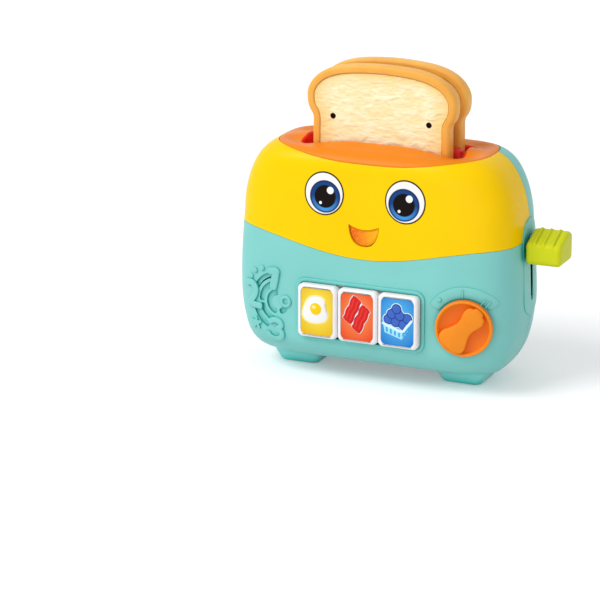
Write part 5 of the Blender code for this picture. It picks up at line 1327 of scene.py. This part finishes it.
printed("left", "picture_rim", lambda margin: blob(1.0 + margin), 1, "cream")
printed("left", "picture_white", blob, 2, "white")
printed("left", "picture_yolk", lambda margin: circle(YOLK_PLACE, 4.1, margin, 40), 3, "yolk")
printed("left", "picture_yolk_glint", lambda margin: ellipse(GLINT_PLACE, 1.5, 1.1, margin, 24), 4, "glint")
for index, centre in enumerate(STRIP_PLACES):
    path = strip_path(centre)
    for part, width, level, ink in (("rim", 8.2, 1 + index * 0.2, "white"),
                                    ("edge", 7.3, 2 + index * 0.2, "strip_edge"), ("face", 6.6, 3, "strip")):
        printed("middle", f"strip_{index + 1}_{part}", lambda margin: ribbon(path, width, margin, 0.25),
                level, ink)
    for line, aside in enumerate((-1.5, 1.4)):
        streak = strip_path(centre, aside)[2:-2]
        printed("middle", f"strip_{index + 1}_streak_{line + 1}", lambda margin: ribbon(streak, 0.8, margin),
                4, "strip_light")
print("strips:", len(STRIP_PLACES))

# %% [markdown]
# The third picture is a punnet of berries. Each berry is three circles of ink, and the punnet is
# two leaning sides with slits and a lip that runs along both. The sides could be drawn one by
# one, but they share their corners, so both come from the same three points above and below.

# %% The punnet of berries
BERRY_RADIUS = 3.2
BERRIES = ((-6.4, 1.4), (-1.2, 0.0), (4.2, -1.4), (7.0, 3.2), (-4.0, 5.2), (1.6, 4.6), (-0.6, 9.0))
RIM_CORNERS = ((-10.0, -1.6), (3.4, -6.0), (10.0, 1.7))
FOOT_CORNERS = ((-8.8, -7.8), (3.4, -11.6), (7.9, -4.9))
SLIT_SPAN = (0.38, 0.55, 0.72)
LIP_SAG = 0.2


def patch(corners, margin, steps=4):
    """Outline of a flat patch between corners, grown by a margin."""
    points = []
    for corner, following in zip(corners, corners[1:] + corners[:1]):
        points += [between(corner, following, step / steps) for step in range(steps)]
    middle = (sum(x for x, _ in corners) / len(corners), sum(z for _, z in corners) / len(corners))
    return [between(middle, point, 1 + margin / 4) for point in points]


for index, centre in enumerate(BERRIES):
    for part, radius, level, ink in (("rim", BERRY_RADIUS + 0.8, 1, "basket_light"),
                                     ("shade", BERRY_RADIUS + 0.25, 2 + index * 0.1, "berry_dark"),
                                     ("face", BERRY_RADIUS - 0.3, 2.05 + index * 0.1, "berry")):
        printed("right", f"berry_{index + 1}_{part}", lambda margin: circle(centre, radius, margin),
                level, ink)
for side, ink in enumerate(("basket", "basket_shade")):
    rim, foot = RIM_CORNERS[side:side + 2], FOOT_CORNERS[side:side + 2]
    face = [rim[0], rim[1], foot[1], foot[0]]
    printed("right", f"punnet_side_{side + 1}", lambda margin: patch(face, margin), 3.4, ink)
    for slit in range(4 - side):
        share = (slit + 0.7) / (4.4 - side)
        path = [between(between(*rim, share), between(*foot, share), along) for along in SLIT_SPAN]
        printed("right", f"punnet_slit_{side + 1}_{slit + 1}", lambda margin: ribbon(path, 1.3, margin),
                5, "sky")
lip = [RIM_CORNERS[0]]
for corner, following in zip(RIM_CORNERS, RIM_CORNERS[1:]):
    x, z = between(corner, following, 0.5)
    lip += [(x, z - LIP_SAG), following]
printed("right", "punnet_lip", lambda margin: ribbon(curve_through(lip, 4), 1.7, margin), 5.2,
        "basket_light")
print("berries:", len(BERRIES))

# %% [markdown]
# A slice is a pale core in a ring of crust. The outline has a straight lower part, a waist and a
# rounded crown. The crust is a ring loft with a well-rounded outer edge. The core could be a flat
# plate with a bump, but its ripples would vanish in the exported mesh. So it is built of level
# rows of points that carry the shallow ripples themselves, with two little round holes near the
# top.

# %% Slices of bread
SLICE_LOW = 105.0
SLICE_TOP = 210.1
SLICE_HALF = 48.4
BULGE_HALF = 52.7
WAIST_Z = 172.8
SLICE_THICKNESS = 10.2
CRUST_WIDTH = 5.2
DOT_PLACE = (33.9, 173.8)
CROWN = [(0.02, 0.0), (0.58, 0.12), (0.90, 0.22), (1.0, 0.33), (0.97, 0.45)]
CROWN_TOP = [(0.965, 0.57), (0.91, 0.68), (0.82, 0.79), (0.69, 0.88), (0.52, 0.945), (0.30, 0.983),
             (0.0, 1.0)]


def slice_line():
    """The slice's outline, from the middle of its foot round to the middle of its foot."""
    corner_x, corner_z, straight_end = SLICE_HALF - 6, SLICE_LOW + 6, WAIST_Z - 6
    rise = SLICE_TOP - WAIST_Z
    right = [(corner_x - 6 * step, SLICE_LOW) for step in range(7, 0, -1)]
    right += [(corner_x + 6 * math.sin(turn), corner_z - 6 * math.cos(turn))
              for turn in (math.pi / 2 * step / 8 for step in range(9))]
    right += [(SLICE_HALF, corner_z + (straight_end - corner_z) * step / 10) for step in range(1, 10)]
    crown = [(SLICE_HALF, WAIST_Z - 8)]
    crown += [(SLICE_HALF + (BULGE_HALF - SLICE_HALF) * out, WAIST_Z + rise * up) for out, up in CROWN]
    crown += [(BULGE_HALF * out, WAIST_Z + rise * up) for out, up in CROWN_TOP]
    smoothed = curve_through(crown + [(-crown[-2][0], crown[-2][1])], 5)
    right += [point for point in smoothed if point[0] > 0.05]
    return [(0.0, SLICE_LOW)] + right + [(0.0, SLICE_TOP)] + [(-x, z) for x, z in reversed(right)]


LOAF_LINE = slice_line()


@functools.lru_cache(maxsize=None)
def slice_half_width(z, inset):
    """Half width of the drawn-in slice at a height."""
    right = [(x, height) for x, height in shifted(LOAF_LINE, inset) if x >= 0]
    widest = 0.05
    for (x, height), (next_x, next_height) in zip(right, right[1:]):
        if min(height, next_height) <= z <= max(height, next_height) and height != next_height:
            widest = max(widest, x + (next_x - x) * (z - height) / (next_height - height))
    return widest


def crust_colour(tree):
    """Toasted caramel, darker along the outer rim."""
    blotches = spread(tree, noise_value(tree, 45, 4), 0.3, 0.7)
    mottled = blended(tree, blotches, (0.87, 0.42, 0.074), (0.97, 0.54, 0.12))
    rim = spread(tree, layer_value(tree, "rim"), 0.0, 1.6, 0.5, 0.0)
    return blended(tree, rim, mottled, (0.82, 0.35, 0.052))


def crumb_ripples(tree):
    """Short flat ripples, longer across than upwards."""
    ripple = added(tree, "TexNoise")
    ripple.inputs["Scale"].default_value = 1.0
    ripple.inputs["Detail"].default_value = 1
    ripple.inputs["Distortion"].default_value = 0.6
    tree.links.new(scaled_place(tree, (130, 130, 330)), ripple.inputs["Vector"])
    return ripple.outputs[0]


def crumb_colour(tree):
    """Pale crumb, browner near the crust and in the ripples, with two dark holes."""
    ripples = spread(tree, crumb_ripples(tree), 0.35, 0.65)
    pale = blended(tree, ripples, (0.93, 0.79, 0.43), (0.97, 0.89, 0.60))
    rim = spread(tree, layer_value(tree, "rim"), 0.0, 13.0, 0.8, 0.0)
    toasted = blended(tree, rim, pale, (0.91, 0.61, 0.20))
    for side in (-1, 1):
        hole = view_distance(tree, (side * DOT_PLACE[0], DOT_PLACE[1]), (2.0, 2.0))
        toasted = blended(tree, inside(tree, hole, 1.0, 0.05), toasted, (0.035, 0.014, 0.008))
    return toasted


CRUST = plastic("toasted_crust", crust_colour, 0.40, grain=0.12, edge=0, sheen=0.15)
CRUMB = plastic("bread_crumb", crumb_colour, 0.55, grain=0.55, edge=0, sheen=0.15,
                texture=lambda tree: (crumb_ripples(tree), 1.5 * MM))
half_thickness = SLICE_THICKNESS / 2
section = [(-margin, half_thickness - depth) for margin, depth in quarter_turn(2.4, 6)]
section += [(CRUST_WIDTH - 1.4, half_thickness)]
section += [(CRUST_WIDTH + margin, half_thickness - depth)
            for margin, depth in reversed(quarter_turn(0.8, 3))]
section += [(inset, -out) for inset, out in reversed(section)]

CRUMB_ROWS = 150
CRUMB_COLUMNS = 130
CRUMB_INSET = CRUST_WIDTH + GAP
CRUMB_SINK = 0.75
RIPPLE_DEPTH = 0.62
low, high = SLICE_LOW + CRUMB_INSET, SLICE_TOP - CRUMB_INSET


def crumb_row(z, middle_y):
    """One level row of the core: across the rippled front and back across the rear."""
    half = slice_half_width(z, CRUMB_INSET)
    face = []
    for column in range(CRUMB_COLUMNS + 1):
        x = half * (2 * column / CRUMB_COLUMNS - 1)
        rim = max(min(half - abs(x), z - low, high - z), 0)
        pattern = noise.fractal(Vector((x * 0.16, z * 0.42, middle_y)), 0.9, 2.0, 2)
        ripple = RIPPLE_DEPTH * pattern * min(rim / 2, 1)
        face.append((x, half_thickness - CRUMB_SINK - min(abs(ripple), 0.9)))
    return [(x, middle_y - out, z) for x, out in face] + [(x, middle_y + out, z) for x, out in reversed(face)]


def crumb_rim(x, y, z):
    """How far a place of the core lies from the crust."""
    return min(slice_half_width(round(z, 1), CRUMB_INSET) - abs(x), z - low, (high - z) * 1.4)


for body, middle_y in (("front_slice", -SLICE_PITCH / 2), ("rear_slice", SLICE_PITCH / 2)):
    rings = [[(x, middle_y + out, z) for x, z in shifted(LOAF_LINE, inset)] for inset, out in section]
    crust = smooth(skinned(body + "_crust_ring", rings, closed=True), 60)
    measured(crust, "rim", lambda x, y, z: half_thickness - abs(y - middle_y))
    dress(crust, CRUST, "crust_plastic", body, body + "_crust")
    rows = []
    for row in range(CRUMB_ROWS + 1):
        rows.append(crumb_row(low + (high - low) * (1 - math.cos(math.pi * row / CRUMB_ROWS)) / 2, middle_y))
    crumb = skinned(body + "_crumb_core", rows)
    for side in (-1, 1):
        outline = circle((side * DOT_PLACE[0], DOT_PLACE[1]), 1.9, count=28)
        hole = pushed("dot_tool", outline, (middle_y - 1.4, middle_y - 6.0))
        carve(crumb, hole)
        discard(hole)
    measured(crumb, "rim", crumb_rim)
    dress(smooth(crumb, 60), CRUMB, "crumb_plastic", body, body + "_crumb")
    print(body, "crust:", len(crust.data.polygons), "crumb:", len(crumb.data.polygons))

# %% [markdown]
# The lever's knob is a chunky grip with all its edges rounded, an upright front, a slope up to a
# crest and three ribs across the slope. A bevelled box would lose the ribs' soft ends. So it is
# lofted from side outlines placed one after another outwards, and the ribs are outlines swollen a
# little on top.

# %% The lever knob
KNOB_START = 100.2
KNOB_END = 124.4
KNOB_ROUND = 3.6
KNOB_CORNERS = [(-9.95, 85.7), (15.55, 85.7), (15.55, 104.7), (6.37, 106.4), (-9.95, 99.8)]
RIB_PLACES = (106.1, 112.3, 118.5)
RIB_RISE = 1.5
RIB_HALF = 1.15
KNOB_EDGES = (2.4, 3.0)
KNOB_STEPS = 44


def knob_line(margin):
    """The knob's side outline with round corners, grown by a margin."""
    points = []
    for index, corner in enumerate(KNOB_CORNERS):
        before, after = Vector(KNOB_CORNERS[index - 1]), Vector(KNOB_CORNERS[(index + 1) % len(KNOB_CORNERS)])
        here = Vector(corner)
        inward, outward = (before - here).normalized(), (after - here).normalized()
        half_angle = inward.angle(outward) / 2
        centre = here + (inward + outward).normalized() * KNOB_ROUND / math.sin(half_angle)
        start = math.atan2(-inward.x, inward.y) - math.pi
        sweep = math.pi - 2 * half_angle
        for step in range(9):
            turn = start + sweep * step / 8
            points.append((centre.x + (KNOB_ROUND + margin) * math.cos(turn),
                           centre.y + (KNOB_ROUND + margin) * math.sin(turn)))
    return points


def knob_outline(margin, rib):
    """The knob's side outline, with its slope swollen by a rib."""
    points = knob_line(margin)
    shaped = []
    for point, following in zip(points, points[1:] + points[:1]):
        parts = 6 if math.dist(point, following) > 2.5 else 1
        for y, z in (between(point, following, step / parts) for step in range(parts)):
            lift = rib * min(max((z - 96.5) / 4.0, 0), 1) * min(max((11.5 - y) / 4.0, 0), 1)
            shaped.append((y - 0.4 * lift, z + lift))
    return shaped


inner_start, inner_end = KNOB_START + KNOB_EDGES[0], KNOB_END - KNOB_EDGES[1]
knob_section = [(KNOB_START + depth, margin) for margin, depth in reversed(quarter_turn(KNOB_EDGES[0], 6))]
for step in range(1, KNOB_STEPS):
    knob_section.append((inner_start + (inner_end - inner_start) * step / KNOB_STEPS, 0.0))
knob_section += [(KNOB_END - depth, margin) for margin, depth in quarter_turn(KNOB_EDGES[1], 8)]
knob_rings = []
for x, margin in knob_section:
    nearest = min(min(abs(x - rib_x) for rib_x in RIB_PLACES) / RIB_HALF, 1)
    rib = RIB_RISE * max(math.cos(nearest * math.pi / 2), 0) ** 0.6
    knob_rings.append([(x, y, z) for y, z in knob_outline(margin, rib)])
knob = smooth(skinned("knob_grip", knob_rings), 60)
dress(knob, LIME, "lime_plastic", "lever", "lever_knob")
print("knob:", len(knob.data.polygons), "faces")

# %% [markdown]
# What is left needs no new shape: the red well, the lever's carriage, screws, cells, boards and
# the speaker. The imported meshes are loose triangles, so each is copied and its corners merged
# before it is shaded smooth and given the finish of its material. For the rubber domes and the
# return spring, the share of their length that a press of the button or the lever would leave is
# printed.

# %% Everything else
PRESS_TRAVEL = 2.5
LEVER_TRAVEL = 30.0
FINISHES = {
    "teal_plastic": TEAL, "white_plastic": WHITE,
    "red_plastic": plastic("red_moulding", (0.86, 0.035, 0.02), 0.45),
    "black_plastic": plastic("black_moulding", (0.02, 0.02, 0.023), 0.5),
    "rubber": plastic("grey_rubber", (0.30, 0.31, 0.33), 0.7, grain=0.1),
    "steel": plastic("bright_steel", (0.56, 0.57, 0.59), 0.28, grain=0.02, sheen=0.5, metal=1.0),
    "board_green": plastic("board_green", (0.02, 0.17, 0.06), 0.4),
    "battery_wrap": plastic("battery_wrap", (0.035, 0.035, 0.042), 0.3),
    "clear_lamp": plastic("clear_lamp", (0.95, 0.66, 0.08), 0.2),
}


def give_way(piece, push, travel):
    """Print how much of a springy piece's length would be left after its joint travels along a push, and give
    it its own mesh.
    """
    push = Vector(push)
    reach = [corner.co.dot(push) for corner in piece.data.vertices]
    share = (max(reach) - min(reach) - travel * MM) / (max(reach) - min(reach))
    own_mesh(piece)
    print(piece.name, "keeps", round(share, 2), "of its length")


left_over = [part for part in frame["record"]["subparts"] if not nodes[part["node"]].hide_render]
for part in left_over:
    name = part["node"]
    piece = pick(copied(nodes[name], name + "_finished"))
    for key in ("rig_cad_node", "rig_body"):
        del piece[key]
    bpy.ops.object.mode_set(mode='EDIT')
    bpy.ops.mesh.select_all(action='SELECT')
    bpy.ops.mesh.remove_doubles(threshold=WELD)
    bpy.ops.mesh.normals_make_consistent(inside=False)
    bpy.ops.object.mode_set(mode='OBJECT')
    dress(smooth(piece), FINISHES[part["material_slot"]], part["material_slot"], nodes[name]["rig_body"], name)
    if name.endswith("_rubber_dome"):
        give_way(piece, (0, 1, 0), PRESS_TRAVEL)
    elif name == "return_spring":
        give_way(piece, (0, 0, -1), LEVER_TRAVEL)
print("finished copies:", len(left_over))

# %% [markdown]
# The photograph was taken from above the right-hand front corner with a long lens, so upright
# lines stay almost parallel. The camera stands two metres off, and the toy sits above and right
# of the middle of the picture.

# %% Camera
CAMERA_PLACE = place(720.906, -1784.306, 629.560)
CAMERA_TARGET = place(-50.549, -31.318, 49.302)
bpy.ops.object.camera_add(location=CAMERA_PLACE)
camera = bpy.context.active_object
camera.name = "studio_camera"
camera.rotation_euler = (CAMERA_TARGET - CAMERA_PLACE).to_track_quat('-Z', 'Y').to_euler()
camera.data.sensor_width = 36
camera.data.lens = 179.48
camera.data.clip_end = 20
bpy.context.scene.camera = camera
print("camera distance:", round((CAMERA_TARGET - CAMERA_PLACE).length, 2), "m")

# %% [markdown]
# The picture has a white sweep under and behind the toy, with one soft shadow that falls back to
# the right. A broad sun from the upper left gives that shadow, a large lamp at the left gives the
# soft highlight on the yellow shoulder, and a low one in front lifts the underside. The world and
# the paper show plain white to the camera and in reflections, but the world lights the toy a
# little less, so that the colours stay as they are written.

# %% Floor, world and lamps
WORLD_LIGHT = 0.62
PAPER_GLOW = 0.25
LAMP_TARGET = Vector((0, 0, 0.08))


def seen_plainly(tree):
    """One for rays that show a surface to the camera, straight, in a reflection or through glass."""
    paths = added(tree, "LightPath")
    seen = paths.outputs["Is Camera Ray"]
    for kind in ("Is Glossy Ray", "Is Transmission Ray"):
        either = added(tree, "Math", operation='MAXIMUM')
        tree.links.new(seen, either.inputs[0])
        tree.links.new(paths.outputs[kind], either.inputs[1])
        seen = either.outputs[0]
    return seen


scene = bpy.context.scene
scene.view_settings.view_transform = 'Standard'
world = bpy.data.worlds.new("studio_world")
scene.world = world
world.use_nodes = True
tree = world.node_tree
background = tree.nodes["Background"]
tree.links.new(spread(tree, seen_plainly(tree), 0, 1, WORLD_LIGHT, 1.0), background.inputs["Strength"])
background.inputs["Color"].default_value = (1, 1, 1, 1)

bpy.ops.mesh.primitive_plane_add(size=8, location=(0, 0, -0.2 * MM))
floor = bpy.context.active_object
floor.name = "studio_floor"
paper = bpy.data.materials.new("studio_paper")
paper.use_nodes = True
tree = paper.node_tree
sheet = tree.nodes["Principled BSDF"]
sheet.inputs["Base Color"].default_value = (0.86, 0.86, 0.87, 1)
sheet.inputs["Roughness"].default_value = 0.8
sheet.inputs["Specular IOR Level"].default_value = 0.1
sheet.inputs["Emission Color"].default_value = (1, 0.985, 1, 1)
tree.links.new(spread(tree, seen_plainly(tree), 0, 1, 0, PAPER_GLOW), sheet.inputs["Emission Strength"])
floor.data.materials.append(paper)


def lamp(name, kind, where, power, size):
    """A lamp that looks at the toy from a place in metres."""
    bpy.ops.object.light_add(type=kind, location=where)
    light = bpy.context.active_object
    light.name = name
    light.rotation_euler = (LAMP_TARGET - Vector(where)).to_track_quat('-Z', 'Y').to_euler()
    light.data.energy = power
    if kind == 'SUN':
        light.data.angle = math.radians(size)
    else:
        light.data.size = size


lamp("window_light", 'SUN', (-0.9, -1.1, 1.7), 1.25, 28)
lamp("left_softbox", 'AREA', (-1.1, -0.7, 1.3), 3.5, 0.8)
lamp("low_fill", 'AREA', (0.3, -1.6, 0.16), 5.0, 1.2)
